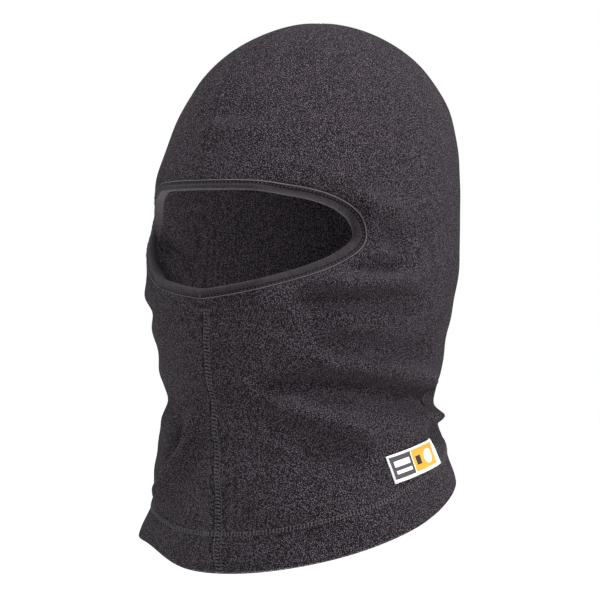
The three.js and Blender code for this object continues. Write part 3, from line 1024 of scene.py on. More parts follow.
def stitch_tree() -> bpy.types.NodeTree:
    """Geometry Nodes that lay a row of stitches along a guide line.

    Returns:
        The tree, built once. Its guide carries an "outward" direction at each point.
    """
    found = bpy.data.node_groups.get("Stitch row")
    if found:
        return found
    tree = bpy.data.node_groups.new("Stitch row", "GeometryNodeTree")
    face = tree.interface
    face.new_socket("Guide", in_out="INPUT", socket_type="NodeSocketGeometry")
    for name, value in (("Pitch", 0.002), ("Stitch length", 0.0016), ("Thread width", 0.0005),
                        ("Thread height", 0.0004), ("Turn", 0.0), ("Unevenness", 0.06)):
        socket = face.new_socket(name, in_out="INPUT", socket_type="NodeSocketFloat")
        socket.default_value = value
    face.new_socket("Seed", in_out="INPUT", socket_type="NodeSocketInt")
    face.new_socket("Thread", in_out="INPUT", socket_type="NodeSocketMaterial")
    face.new_socket("Stitches", in_out="OUTPUT", socket_type="NodeSocketGeometry")
    nodes, links = tree.nodes, tree.links
    entry, leave = nodes.new("NodeGroupInput"), nodes.new("NodeGroupOutput")

    def add(kind: str, inputs: dict | None = None, **settings: object) -> bpy.types.Node:
        """A node of the tree, with its inputs linked or set."""
        return NodeBuilder(tree).add(kind, inputs, **settings)

    line = add("GeometryNodeMeshToCurve", {"Mesh": entry.outputs["Guide"]})
    spaced = add("GeometryNodeResampleCurve", {"Curve": line.outputs[0]}, mode="LENGTH")
    links.new(entry.outputs["Pitch"], spaced.inputs["Length"])
    tangent = add("GeometryNodeInputTangent")
    outward = add("GeometryNodeInputNamedAttribute", {"Name": "outward"}, data_type="FLOAT_VECTOR")
    along = add("FunctionNodeAlignRotationToVector", {"Vector": tangent.outputs[0]}, axis="X")
    upright = add("FunctionNodeAlignRotationToVector",
                  {"Rotation": along.outputs[0], "Vector": outward.outputs["Attribute"]},
                  axis="Z", pivot_axis="X")
    wobble = add("FunctionNodeRandomValue", data_type="FLOAT")
    floats = [s for s in wobble.inputs if s.type == "VALUE"]
    negative = add("ShaderNodeMath", {0: entry.outputs["Unevenness"], 1: -1.0}, operation="MULTIPLY")
    links.new(negative.outputs[0], floats[0])
    links.new(entry.outputs["Unevenness"], floats[1])
    links.new(entry.outputs["Seed"], wobble.inputs["Seed"])
    drawn = next(s for s in wobble.outputs if s.type == "VALUE")
    angle = add("ShaderNodeMath", {0: entry.outputs["Turn"], 1: drawn}, operation="ADD")
    turn = add("FunctionNodeAxisAngleToRotation", {"Axis": (0, 0, 1), "Angle": angle.outputs[0]})
    facing = add("FunctionNodeRotateRotation", {"Rotation": upright.outputs[0], "Rotate By": turn.outputs[0]},
                 rotation_space="LOCAL")
    bead = add("GeometryNodeMeshUVSphere", {"Segments": 8, "Rings": 6, "Radius": 0.5})
    size = add("ShaderNodeCombineXYZ", {0: entry.outputs["Stitch length"], 1: entry.outputs["Thread width"],
                                        2: entry.outputs["Thread height"]})
    shaped = add("GeometryNodeTransform", {"Geometry": bead.outputs["Mesh"], "Scale": size.outputs[0]})
    laid = add("GeometryNodeInstanceOnPoints", {"Points": spaced.outputs[0], "Instance": shaped.outputs[0],
                                                "Rotation": facing.outputs[0]})
    real = add("GeometryNodeRealizeInstances", {"Geometry": laid.outputs[0]})
    smooth = add("GeometryNodeSetShadeSmooth", {"Geometry": real.outputs[0]})
    dyed = add("GeometryNodeSetMaterial", {"Geometry": smooth.outputs[0],
                                           "Material": entry.outputs["Thread"]})
    links.new(dyed.outputs[0], leave.inputs[0])
    return tree


@dataclass(frozen=True)
class Stitch:
    """The size of one stitch in millimetres, and its turn on its row in radians."""

    pitch: float
    length: float
    width: float
    height: float
    turn: float = 0.0


@dataclass(frozen=True)
class StitchRow:
    """One row of stitches along a guide line, in millimetres."""

    points: Array
    outward: Array
    stitch: Stitch
    unevenness: float = 0.05
    closed: bool = False
    seed: int = 1

    def build(self, finish: ClothFinish) -> bpy.types.Object:
        """Lays the row as a plain mesh.

        Args:
            finish: The thread's finish.

        Returns:
            The row's object, with no modifier left on it.
        """
        count = len(self.points)
        edges = [(i, i + 1) for i in range(count - 1)] + ([(count - 1, 0)] if self.closed else [])
        mesh = bpy.data.meshes.new("guide")
        mesh.from_pydata((self.points * MM).tolist(), edges, [])
        layer = mesh.attributes.new("outward", "FLOAT_VECTOR", "POINT")
        layer.data.foreach_set("vector", np.asarray(self.outward, np.float32).ravel())
        guide = bpy.data.objects.new("guide", mesh)
        bpy.context.scene.collection.objects.link(guide)
        modifier = guide.modifiers.new("stitches", "NODES")
        modifier.node_group = stitch_tree()
        stitch = self.stitch
        values = {"Pitch": stitch.pitch * MM, "Stitch length": stitch.length * MM,
                  "Thread width": stitch.width * MM, "Thread height": stitch.height * MM,
                  "Turn": stitch.turn, "Unevenness": self.unevenness,
                  "Seed": self.seed, "Thread": finish.material()}
        for item in modifier.node_group.interface.items_tree:
            if getattr(item, "in_out", "") == "INPUT" and item.name in values:
                modifier[item.identifier] = values[item.name]
        evaluated = guide.evaluated_get(bpy.context.evaluated_depsgraph_get())
        made = bpy.data.meshes.new_from_object(evaluated)
        bpy.data.objects.remove(guide)
        row = bpy.data.objects.new("row", made)
        bpy.context.scene.collection.objects.link(row)
        return row


def sewn_piece(name: str, rows: list[StitchRow], finish: ClothFinish,
               settled: bool = True) -> bpy.types.Object:
    """Lays several rows and joins them into one piece.

    Args:
        name: The piece's name.
        rows: The rows.
        finish: The thread's finish.
        settled: Whether the piece moves with the settling of the hood.

    Returns:
        The piece.
    """
    points, faces, first = [], [], 0
    for row in rows:
        laid = row.build(finish)
        co = np.zeros(len(laid.data.vertices) * 3)
        laid.data.vertices.foreach_get("co", co)
        points.append(co.reshape(-1, 3) / MM)
        faces += [tuple(first + v for v in polygon.vertices) for polygon in laid.data.polygons]
        first += len(points[-1])
        bpy.data.objects.remove(laid)
    return make_object(name, np.concatenate(points), faces, finish.material(), settled)


# ---- Panels --------------------------------------------------------------------------------


@dataclass(frozen=True)
class Sewing:
    """Sizes of the cloth and of the sewing, in millimetres."""

    ply: float = 2.2
    half_gap: float = 0.0
    corner: float = 0.8
    allowance: float = 6.0
    hem_turn: float = 22.0
    hem_lap_gap: float = 0.2
    binding_width: float = 7.0
    raw_edge: float = 1.3
    cell: float = 1.65


@dataclass
class SidePanel:
    """One side of the hood: its wall, its seam allowances and its turned-up hem, as one ply."""

    side: Side
    form: HoodForm
    opening: FaceOpening
    sewing: Sewing = field(default_factory=Sewing)
    # Columns down each allowance, and the turns of its rounded corner in degrees.
    flange_columns: int = 5
    corner_turns: tuple[float, ...] = (0.0, 40.0, 75.0)
    # The fold at the foot of the hem: where it starts above the hem's plane, and how deep it is.
    fold_start: float = 2.4
    fold_rise: float = 2.3

    @property
    def edge_columns(self) -> int:
        """How many columns an allowance and its corner take."""
        return self.flange_columns + len(self.corner_turns)

    def columns(self) -> tuple[Array, Array, Array]:
        """The columns of the grid from the front allowance round to the back one.

        Returns:
            Each column's angle, its depth down the allowance, and its distance from the seam.
        """
        s = self.sewing
        depths = np.linspace(s.ply + s.allowance, s.corner + 0.1, self.flange_columns)
        bend = np.radians(self.corner_turns)
        edge = math.asin((s.half_gap + s.corner) / self.form.half_breadth)
        count = round(math.pi * self.form.girth_radius / s.cell)
        main = np.linspace(edge, math.pi - edge, count)
        corner_depth = s.corner * (1 - np.sin(bend))
        corner_out = s.half_gap + s.corner * (1 - np.cos(bend))
        angle = np.concatenate([np.zeros(self.edge_columns), main, np.full(self.edge_columns, math.pi)])
        depth = np.concatenate([depths, corner_depth, np.zeros(count), corner_depth[::-1], depths[::-1]])
        flange_out = np.full(self.flange_columns, s.half_gap)
        wall = np.full(count, -1.0)
        from_seam = np.concatenate([flange_out, corner_out, wall, corner_out[::-1], flange_out])
        return angle, depth, from_seam

    def rows(self) -> tuple[Array, Array, Array]:
        """The rows of the grid from the crown down the wall, round the hem and up inside it.

        Returns:
            Each row's share of the way (a level, or a height above the hem), whether it is measured
            from the hem, and its inset from the outer face.
        """
        s, form = self.sewing, self.form
        turns = np.linspace(math.radians(89.3), 0, round(1.45 * form.crown_rise / s.cell))
        crown = form.crown_rise * np.sin(turns)
        blend = 30.0
        wall = np.arange(-s.cell, blend - form.hem_drop + s.hem_turn, -s.cell)
        foot = np.linspace(blend + s.hem_turn, self.fold_start, round((blend + s.hem_turn) / s.cell))
        lap = 2 * s.ply + s.hem_lap_gap
        bend = np.radians(np.linspace(15, 165, 7))
        fold_height = self.fold_rise - self.fold_rise * np.sin(bend)
        fold_inset = lap / 2 - lap / 2 * np.cos(bend)
        turn = np.linspace(self.fold_start, s.hem_turn - 0.5, round(s.hem_turn / s.cell))
        value = np.concatenate([crown, wall, foot, fold_height, turn])
        above = len(crown) + len(wall)
        from_hem = np.concatenate([np.zeros(above), np.ones(len(value) - above)])
        inset = np.concatenate([np.zeros(above + len(foot)), fold_inset, np.full(len(turn), lap)])
        return value, from_hem, inset

    def levels(self, angle: Array) -> Array:
        """Works out the level of each point of the grid.

        Rows counted from the crown run into rows counted from the hem without a step.

        Args:
            angle: Rows by columns of angles.

        Returns:
            Rows by columns of levels.
        """
        row_value, row_from_hem, _ = self.rows()
        value = np.broadcast_to(row_value[:, None], angle.shape)
        hem_rows = np.broadcast_to(row_from_hem[:, None] > 0, angle.shape)
        level = np.where(hem_rows, self.form.hem_level(angle, np.where(hem_rows, value, 0.0)), value)
        last = int(np.argmax(row_from_hem)) - 1
        start = int(np.argmin(np.abs(row_value[: last + 1])))
        share = smoothstep((np.arange(start, last + 1) - start) / (last + 1 - start))[:, None]
        target = level[last + 1] - (row_value[last + 1] - row_value[last + 2])
        full = level[start] + (target - level[start]) * np.linspace(0, 1, last + 2 - start)[:-1, None]
        level[start:last + 1] = level[start:last + 1] * (1 - share) + full * share
        return level

    def gap_to_opening(self, angle: Array, level: Array, hem_rows: Array) -> tuple[Array, Array]:
        """Measures how far each point lies from the cut edge of the face opening.

        Args:
            angle: Rows by columns of angles.
            level: Rows by columns of levels.
            hem_rows: Points of the turned-up hem, which are left out.

        Returns:
            The gaps, negative inside, and the nearest points of the edge.
        """
        far, across, up = 99.0, 125, 48
        flat = np.stack([angle * self.opening.radius, self.form.smooth_point(angle, level)[..., 2]], axis=-1)
        near = (np.abs(flat[..., 0]) < across) & (np.abs(flat[..., 1]) < up) & ~hem_rows
        gap, nearest = np.full(angle.shape, far), np.zeros(flat.shape)
        gap[near], nearest[near] = self.opening.signed_gap(flat[near], self.sewing.raw_edge)
        return gap, nearest

    def kept_cells(self, angle: Array, level: Array, gap: Array, hem_rows: Array) -> Array:
        """Finds the cells that are cloth.

        Args:
            angle: Rows by columns of angles.
            level: Rows by columns of levels.
            gap: Distances from the cut edge of the face opening.
            hem_rows: Points of the turned-up hem.

        Returns:
            True for each cell that exists.
        """
        s, form = self.sewing, self.form
        inside = gap < 0
        keep = ~(inside[:-1, :-1] | inside[1:, :-1] | inside[:-1, 1:] | inside[1:, 1:])
        # Cells of the allowances stop short of the binding and above the hem.
        flange = self.columns()[1] > s.corner + 0.05
        flange_cells = flange[:-1] | flange[1:]
        edge, last = self.edge_columns, angle.shape[1] - 1
        clear = gap[:, edge] > s.binding_width - s.raw_edge + 1.0
        point = form.smooth_point(angle, level)
        above = point[..., 2] - (s.hem_turn - form.hem_drop + form.hem_slope * point[..., 1])
        for cells, column in ((slice(0, edge), 0), (slice(last - edge, last), last)):
            allowed = (above[:, column] > 1.5) & ~hem_rows[:, column]
            if column == 0:
                allowed &= clear
            row_ok = allowed[:-1] & allowed[1:]
            wanted = np.broadcast_to(row_ok[:, None], keep[:, cells].shape)
            keep[:, cells] &= np.where(flange_cells[cells][None, :], wanted, True)
        return keep

    def trim(self, angle: Array, level: Array, gap: Array, nearest: Array, keep: Array) -> None:
        """Moves the points beside the opening onto its cut edge.

        Args:
            angle: Rows by columns of angles, changed in place.
            level: Rows by columns of levels, changed in place.
            gap: Distances from the cut edge.
            nearest: The nearest points of the edge.
            keep: The cells that are cloth.
        """
        snap = 4.5
        column_angle, _, column_out = self.columns()
        padded = np.pad(keep.astype(int), 1)
        around = padded[:-1, :-1] + padded[1:, :-1] + padded[:-1, 1:] + padded[1:, 1:]
        main = np.broadcast_to(column_out < 0, angle.shape)
        rim = (around > 0) & (around < 4) & main & (gap < snap) & (gap >= 0)
        turned = np.abs(nearest[rim][:, 0] / self.opening.radius)
        angle[rim] = self.side.value * np.maximum(turned, abs(column_angle[self.edge_columns]))
        level[rim] = self.form.level_at(angle[rim], nearest[rim][:, 1])

    def skins(self, angle: Array, level: Array, hem_rows: Array) -> tuple[Array, Array]:
        """Places the two faces of the ply.

        Args:
            angle: Rows by columns of angles.
            level: Rows by columns of levels.
            hem_rows: Points of the turned-up hem.

        Returns:
            Rows by columns of points on the face side, and on the back of the ply.
        """
        s, form, sign = self.sewing, self.form, self.side.value
        _, column_depth, column_out = self.columns()
        row_value, _, row_inset = self.rows()
        turned_in = row_inset[:, None]
        inset = np.broadcast_to(turned_in, angle.shape) + np.broadcast_to(column_depth, angle.shape)
        outer = form.cloth(angle, level, inset)
        inner_step = np.where(hem_rows & (turned_in > s.ply), -s.ply, s.ply)
        bend_rows = hem_rows & (turned_in > 0) & (turned_in < 2 * s.ply)
        inner_inset = np.where(bend_rows, s.ply + s.hem_lap_gap / 2, inset + inner_step)
        on_flange = np.broadcast_to(column_out >= 0, angle.shape)
        inner_inset = np.where(on_flange, np.maximum(inset, turned_in + inner_step), inner_inset)
        inner = form.cloth(angle, level, inner_inset)
        inner[..., 2] += np.where(bend_rows, self.fold_rise - row_value[:, None], 0.0)
        outer[..., 0] = np.where(on_flange, sign * column_out, outer[..., 0])
        deep = s.half_gap + s.ply
        inner[..., 0] = np.where(on_flange, sign * deep, sign * np.maximum(np.abs(inner[..., 0]), deep))
        return outer, inner

    def build(self) -> bpy.types.Object:
        """Makes the panel's mesh as one closed ply.

        Returns:
            The panel.
        """
        column_angle = self.columns()[0]
        row_from_hem = self.rows()[1]
        shape = (len(row_from_hem), len(column_angle))
        angle = np.broadcast_to(column_angle * self.side.value, shape).copy()
        hem_rows = np.broadcast_to(row_from_hem[:, None] > 0, shape)
        level = self.levels(angle)
        gap, nearest = self.gap_to_opening(angle, level, hem_rows)
        keep = self.kept_cells(angle, level, gap, hem_rows)
        self.trim(angle, level, gap, nearest, keep)
        points, faces = double_skin(*self.skins(angle, level, hem_rows), keep)
        node = f"{self.side.name.lower()}_panel"
        piece = make_object(f"{node}_cloth", points, faces, FLEECE.material())
        return fit_piece(piece, HOOD, node)


# ---- Binding -------------------------------------------------------------------------------


@dataclass
class FaceBinding:
    """The stretch strip folded round the raw edge of the face opening, and its stitches."""

    form: HoodForm
    opening: FaceOpening
    steps: int = 600
    needle_at: float = 4.2
    looper_at: float = 4.4
    middle: float = 3.5
    needle_stitch: Stitch = Stitch(2.2, 1.35, 0.5, 0.45)
    looper_stitch: Stitch = Stitch(1.1, 1.5, 0.45, 0.45, 0.6)
    tack_stitch: Stitch = Stitch(0.42, 1.5, 0.4, 0.35, math.pi / 2)
    pucker_height: float = 0.10
    join_height: float = 0.45
    # Cross-section: distance from the fold into the cloth, and inset from the outer face.
    profile: tuple[tuple[float, float], ...] = (
        (5.2, -0.15), (5.45, -0.4), (5.4, -0.9), (5.2, -1.15), (4.9, -1.05), (4.6, -0.6), (4.2, -0.4),
        (3.8, -0.7), (3.4, -1.2), (2.7, -1.55), (1.9, -1.6), (1.1, -1.35), (0.5, -0.9), (0.1, -0.25),
        (-0.1, 0.9), (0.05, 2.1),
        (0.6, 3.1), (1.5, 3.5), (3.0, 3.45), (4.4, 3.2), (5.2, 3.3), (5.4, 2.9), (5.1, 2.5), (3.4, 2.45),
        (1.7, 2.4), (1.05, 1.1), (1.7, -0.1), (3.4, -0.12),
    )

    def ring_points(self, distance: float, inset: float) -> tuple[Array, Array]:
        """Points of a line round the binding and the outward directions there.

        Args:
            distance: How far the line lies from the fold.
            inset: How far inside the outer face of the cloth.

        Returns:
            The points and the outward directions.
        """
        flat = self.opening.loop(self.steps, distance)
        angle = flat[:, 0] / self.opening.radius
        level = self.form.level_at(angle, flat[:, 1])
        return self.form.cloth(angle, level, inset), self.form.outward(angle, level)

    def build(self) -> list[bpy.types.Object]:
        """Makes the strip and the threads that hold it.

        Returns:
            The strip, its join tack, its needle thread and its looper thread.
        """
        random = np.random.default_rng(11)
        round_it = np.linspace(0, 2 * math.pi, self.steps, endpoint=False)
        middle_line = self.opening.loop(self.steps, self.middle)
        length = np.linalg.norm(np.diff(middle_line, axis=0), axis=1).sum()
        stitches = round(length / self.needle_stitch.pitch)
        pucker = np.sin(round_it * stitches) + np.sin(round_it * 57 + random.uniform(0, 6))
        rings = np.stack([self.ring_points(u, i)[0] for u, i in self.profile], axis=1)
        out = self.ring_points(self.middle, 0.0)[1]
        lift = np.array([0.0 if i > 0 else 1.0 for _, i in self.profile])
        join = swell((round_it - 1.5 * math.pi) * 200 / math.pi, 0.0, 5.0)
        raised = self.pucker_height * pucker + self.join_height * join
        rings = rings + out[:, None, :] * (raised[:, None] * lift[None, :])[..., None]
        points, faces = swept_ring(rings)
        strip = make_object("face_binding_strip", points, faces, JERSEY.material())
        self.lay_out(strip, length)
        fit_piece(strip, HOOD, "face_binding")
        needle = self.sew("binding_needle", self.needle_at, -0.72, self.needle_stitch)
        looper = self.sew("binding_looper", self.looper_at, 3.65, self.looper_stitch)
        return [strip, needle, looper, self.join_tack()]

    def lay_out(self, strip: bpy.types.Object, length: float) -> None:
        """Gives the strip a UV map in millimetres, along it and across it from the fold.

        Args:
            strip: The strip, made of one quad for each step and each side of the cross-section.
            length: Its length round the opening.
        """
        section = len(self.profile)
        across = np.array([u if inset < 1.0 else 0.0 for u, inset in self.profile])
        numbers = np.zeros(len(strip.data.loops), int)
        strip.data.loops.foreach_get("vertex_index", numbers)
        step = numbers.reshape(-1, 4) // section
        step = np.where((step == 0) & (step.max(axis=1) == self.steps - 1)[:, None], self.steps, step)
        along = step.ravel() * length / self.steps
        layer = strip.data.uv_layers.new(name="band")
        layer.data.foreach_set("uv", np.stack([along, across[numbers % section]], axis=-1).ravel())

    def sew(self, name: str, distance: float, inset: float, stitch: Stitch) -> bpy.types.Object:
        """Lays one closed row of thread round the binding.

        Args:
            name: The row's name, from which its piece and its CAD node are named.
            distance: How far the row lies from the fold.
            inset: How far inside the outer face of the cloth.
            stitch: Its stitch.

        Returns:
            The piece.
        """
        points, outward = self.ring_points(distance, inset)
        piece = sewn_piece(f"{name}_stitches", [StitchRow(points, outward, stitch, closed=True)], DARK_THREAD)
        return fit_piece(piece, HOOD, f"{name}_thread")

    def join_tack(self) -> bpy.types.Object:
        """The short bar of stitches across the join of the strip, under the chin edge.

        Returns:
            The piece.
        """
        flat = self.opening.loop(self.steps, 3.2)
        chin = flat[np.argmin(np.abs(flat[:, 0]) + (flat[:, 1] > 0) * 999)]
        heights = np.linspace(chin[1] - 1.6, chin[1] + 1.6, 9)
        angle = np.zeros(9)
        level = self.form.level_at(angle, heights)
        points, outward = self.form.cloth(angle, level, -1.75), self.form.outward(angle, level)
        row = StitchRow(points, outward, self.tack_stitch)
        piece = sewn_piece("binding_join_stitches", [row], DARK_THREAD)
        return fit_piece(piece, HOOD, "binding_join_tack")


# ---- Seams and hem -------------------------------------------------------------------------


@dataclass
class SeamSewing:
    """The threads of the centre seams and of the hem."""

    form: HoodForm
    sewing: Sewing = field(default_factory=Sewing)

    rail: Stitch = Stitch(2.0, 1.6, 0.6, 0.5)
    rung: Stitch = Stitch(2.0, 3.6, 0.7, 0.6, math.radians(76))
    back_stitch: Stitch = Stitch(1.3, 1.6, 0.4, 0.35)
    hem_rail: Stitch = Stitch(2.4, 1.7, 0.5, 0.4)
    hem_rung: Stitch = Stitch(2.0, 3.2, 0.6, 0.5, math.radians(80))
    hem_back_stitch: Stitch = Stitch(1.5, 2.0, 0.4, 0.35)
    overlock_stitch: Stitch = Stitch(1.5, 3.2, 0.4, 0.35, math.radians(68))

    def line(self, angle: float, top: float, bottom: float, beside: float,
             inset: float) -> tuple[Array, Array]:
        """A line beside a centre seam.

        Args:
            angle: 0 for the front seam, half a turn for the back one.
            top: Its top level.
            bottom: Its bottom level.
            beside: Distance to the wearer's left of the seam.
            inset: Depth inside the outer face.

        Returns:
            The points and the outward directions.
        """
        levels = np.linspace(top, bottom, 90)
        reach = self.form.half_breadth * math.cos(angle)
        angles = angle + beside / reach * np.ones(90)
        return self.form.cloth(angles, levels, inset), self.form.outward(angles, levels)

    def topstitch(self) -> list[bpy.types.Object]:
        """The ladder of topstitching on the wearer's left of the front seam, and its back.

        Returns:
            The outside piece and the inside one.
        """
        top, bottom = -36.0, -self.form.hem_drop + 1.5
        rows = []
        for beside in (1.3, 4.6):
            points, outward = self.line(0.0, top, bottom, beside, -0.3)
            rows.append(StitchRow(points, outward, self.rail))
        points, outward = self.line(0.0, top, bottom, 2.95, -0.55)
        rows.append(StitchRow(points, outward, self.rung))
        needle = sewn_piece("front_topstitch_ladder", rows, DARK_THREAD)
        back = []
        for beside, turn in ((4.2, 0.5), (5.2, -0.5)):
            points, outward = self.line(0.0, top, -128.0, beside, self.sewing.ply + 0.35)
            back.append(StitchRow(points, outward, replace(self.back_stitch, turn=turn)))
        looper = sewn_piece("front_topstitch_back", back, DARK_THREAD)
        return [fit_piece(needle, HOOD, "front_topstitch_needle_thread"),
                fit_piece(looper, HOOD, "front_topstitch_looper_thread")]

    def hem(self) -> list[bpy.types.Object]:
        """Two rows of hem stitch with rungs across them outside, and the looper threads inside.

        Returns:
            The outside piece and the inside one.
        """
        angle = np.linspace(0, 2 * math.pi, 420, endpoint=False)
        wrapped = np.where(angle > math.pi, angle - 2 * math.pi, angle)

        def ring(above: float, inset: float) -> tuple[Array, Array]:
            """A level line round the hem."""
            level = self.form.hem_level(wrapped, above)
            return self.form.cloth(wrapped, level, inset), self.form.outward(wrapped, level)

        rows = []
        for above in (self.sewing.hem_turn - 0.8, self.sewing.hem_turn + 0.8):
            points, outward = ring(above, -0.1)
            rows.append(StitchRow(points, outward, self.hem_rail, closed=True))
        points, outward = ring(self.sewing.hem_turn, -0.45)
        rows.append(StitchRow(points, outward, self.hem_rung, closed=True))
        needle = sewn_piece("hem_needle_stitches", rows, DARK_THREAD)
        back = []
        lap = 2 * self.sewing.ply + self.sewing.hem_lap_gap + 0.25
        for above, turn in ((self.sewing.hem_turn - 2.2, 0.7), (self.sewing.hem_turn - 1.0, -0.7)):
            points, outward = ring(above, lap)
            back.append(StitchRow(points, outward, replace(self.hem_back_stitch, turn=turn), closed=True))
        looper = sewn_piece("hem_looper_stitches", back, DARK_THREAD)
        return [fit_piece(needle, HOOD, "hem_needle_thread"),
                fit_piece(looper, HOOD, "hem_looper_thread")]

    def overlock(self) -> list[bpy.types.Object]:
        """The overlock loops that wrap the two edges of each seam allowance.

        Returns:
            The front piece and the crown and back one.
        """
        depth = self.sewing.ply + self.sewing.allowance
        made = []
        for name, node, spans in (
            ("front_seam_loops", "front_seam_overlock", ((0.0, -37.0, -self.form.hem_drop + 28),)),
            ("crown_seam_loops", "crown_seam_overlock", (
                (0.0, 0.997 * self.form.crown_rise, 38.0),
                (math.pi, 0.997 * self.form.crown_rise, -self.form.hem_drop + 30))),
        ):
            rows = []
            for angle, top, bottom in spans:
                rows += self.loops(angle, top, bottom, depth)
            made.append(fit_piece(sewn_piece(name, rows, DARK_THREAD), HOOD, node))
        return made

    def loops(self, angle: float, top: float, bottom: float, depth: float) -> list[StitchRow]:
        """The rows of one overlocked seam: across the raw edges, and down both faces.

        Args:
            angle: 0 for the front seam, half a turn for the back one.
            top: Its top level.
            bottom: Its bottom level.
            depth: Depth of the raw edges inside the outer face.

        Returns:
            The rows.
        """
        steps = 160
        levels, angles = np.linspace(top, bottom, steps), np.full(steps, angle)
        tip = self.form.cloth(angles, levels, depth + 0.3)
        tip[:, 0] = 0.0
        outward = -self.form.outward(angles, levels)
        wide = 2 * (self.sewing.half_gap + self.sewing.ply) + 0.8
        across = replace(self.overlock_stitch, length=wide, height=0.4, turn=math.pi / 2)
        rows = [StitchRow(tip, outward, across)]
        for side in (-1.0, 1.0):
            points = self.form.cloth(angles, levels, depth - 1.4)
            points[:, 0] = side * (self.sewing.half_gap + self.sewing.ply + 0.25)
            sideways = np.tile([side, 0.0, 0.0], (steps, 1))
            rows.append(StitchRow(points, sideways, self.overlock_stitch))
        return rows


# ---- Labels --------------------------------------------------------------------------------


@dataclass
class WovenLabel:
    """The woven label on the wearer's left, with its stitched border."""

    form: HoodForm
    length: float = 44.0
    height: float = 15.0
    ply: float = 0.6
    lift: float = 0.45
    angle: float = math.pi / 2
    above_stitch: float = 11.0
    tilt: float = math.radians(11)
    reach: float = 80.0
    border_inset: float = 0.9
    border_stitch: Stitch = Stitch(1.6, 1.2, 0.4, 0.3)
    sewing: Sewing = field(default_factory=Sewing)

    def place(self, u: Array, v: Array) -> tuple[Array, Array]:
        """The angle and level of a point of the label, u along it and v up it, from -0.5 to 0.5.

        Args:
            u: Share of the way along it.
            v: Share of the way up it.

        Returns:
            The angles and the levels.
        """
        along, up = u * self.length, v * self.height
        back = along * math.cos(self.tilt) - up * math.sin(self.tilt)
        rise = along * math.sin(self.tilt) + up * math.cos(self.tilt)
        angle = self.angle + back / self.reach
        centre = np.array([self.angle])
        middle = self.form.hem_level(centre, self.sewing.hem_turn + self.above_stitch)
        height = self.form.smooth_point(centre, middle)[0, 2] + rise
        return angle, self.form.level_at(angle, height)

    def surface(self, u: Array, v: Array, lift: float) -> tuple[Array, Array]:
        """Points of the label at a height above the cloth, and the outward directions."""
        angle, level = self.place(u, v)
        return self.form.cloth(angle, level, -lift), self.form.outward(angle, level)

    def build(self) -> list[bpy.types.Object]:
        """Makes the label and its border stitches.

        Returns:
            The label and its thread.
        """
        columns, rows = 67, 25
        u, v = np.meshgrid(np.linspace(-0.5, 0.5, columns), np.linspace(0.5, -0.5, rows))
        edge = np.minimum(0.5 - np.abs(u), (0.5 - np.abs(v)) * self.height / self.length) * self.length
        crisp = smoothstep(edge / 0.9)
        outer, outward = self.surface(u, v, self.lift)
        outer = outer + outward * (self.ply * (0.45 + 0.55 * crisp))[..., None]
        inner, _ = self.surface(u, v, self.lift - 0.25)
        points, faces = double_skin(outer, inner, np.ones((rows - 1, columns - 1), bool))
        label = make_object("woven_label", points, faces, WOVEN_LABEL.material())
        across = np.concatenate([u.ravel(), u.ravel()]) + 0.5
        up = np.concatenate([v.ravel(), v.ravel()]) + 0.5
        layer = label.data.uv_layers.new(name="label")
        corners = np.array([loop.vertex_index for loop in label.data.loops])
        layer.data.foreach_set("uv", np.stack([across[corners], up[corners]], axis=-1).ravel())
        fit_piece(label, HOOD, "logo_label")
        return [label, self.border()]

    def border(self) -> bpy.types.Object:
        """The stitches round the label's edge.

        Returns:
            The piece.
        """
        wide = 0.5 - self.border_inset / self.length
        tall = 0.5 - self.border_inset / self.height
        corners = [(-wide, tall), (wide, tall), (wide, -tall), (-wide, -tall)]
        u, v = [], []
        for (a, b), (c, d) in zip(corners, corners[1:] + corners[:1]):
            share = np.linspace(0, 1, 40, endpoint=False)
            u.append(a + (c - a) * share)
            v.append(b + (d - b) * share)
        points, outward = self.surface(np.concatenate(u), np.concatenate(v), self.lift + self.ply + 0.12)
        row = StitchRow(points, outward, self.border_stitch, closed=True)
        piece = sewn_piece("woven_label_stitches", [row], PALE_THREAD)
        return fit_piece(piece, HOOD, "logo_label_thread")


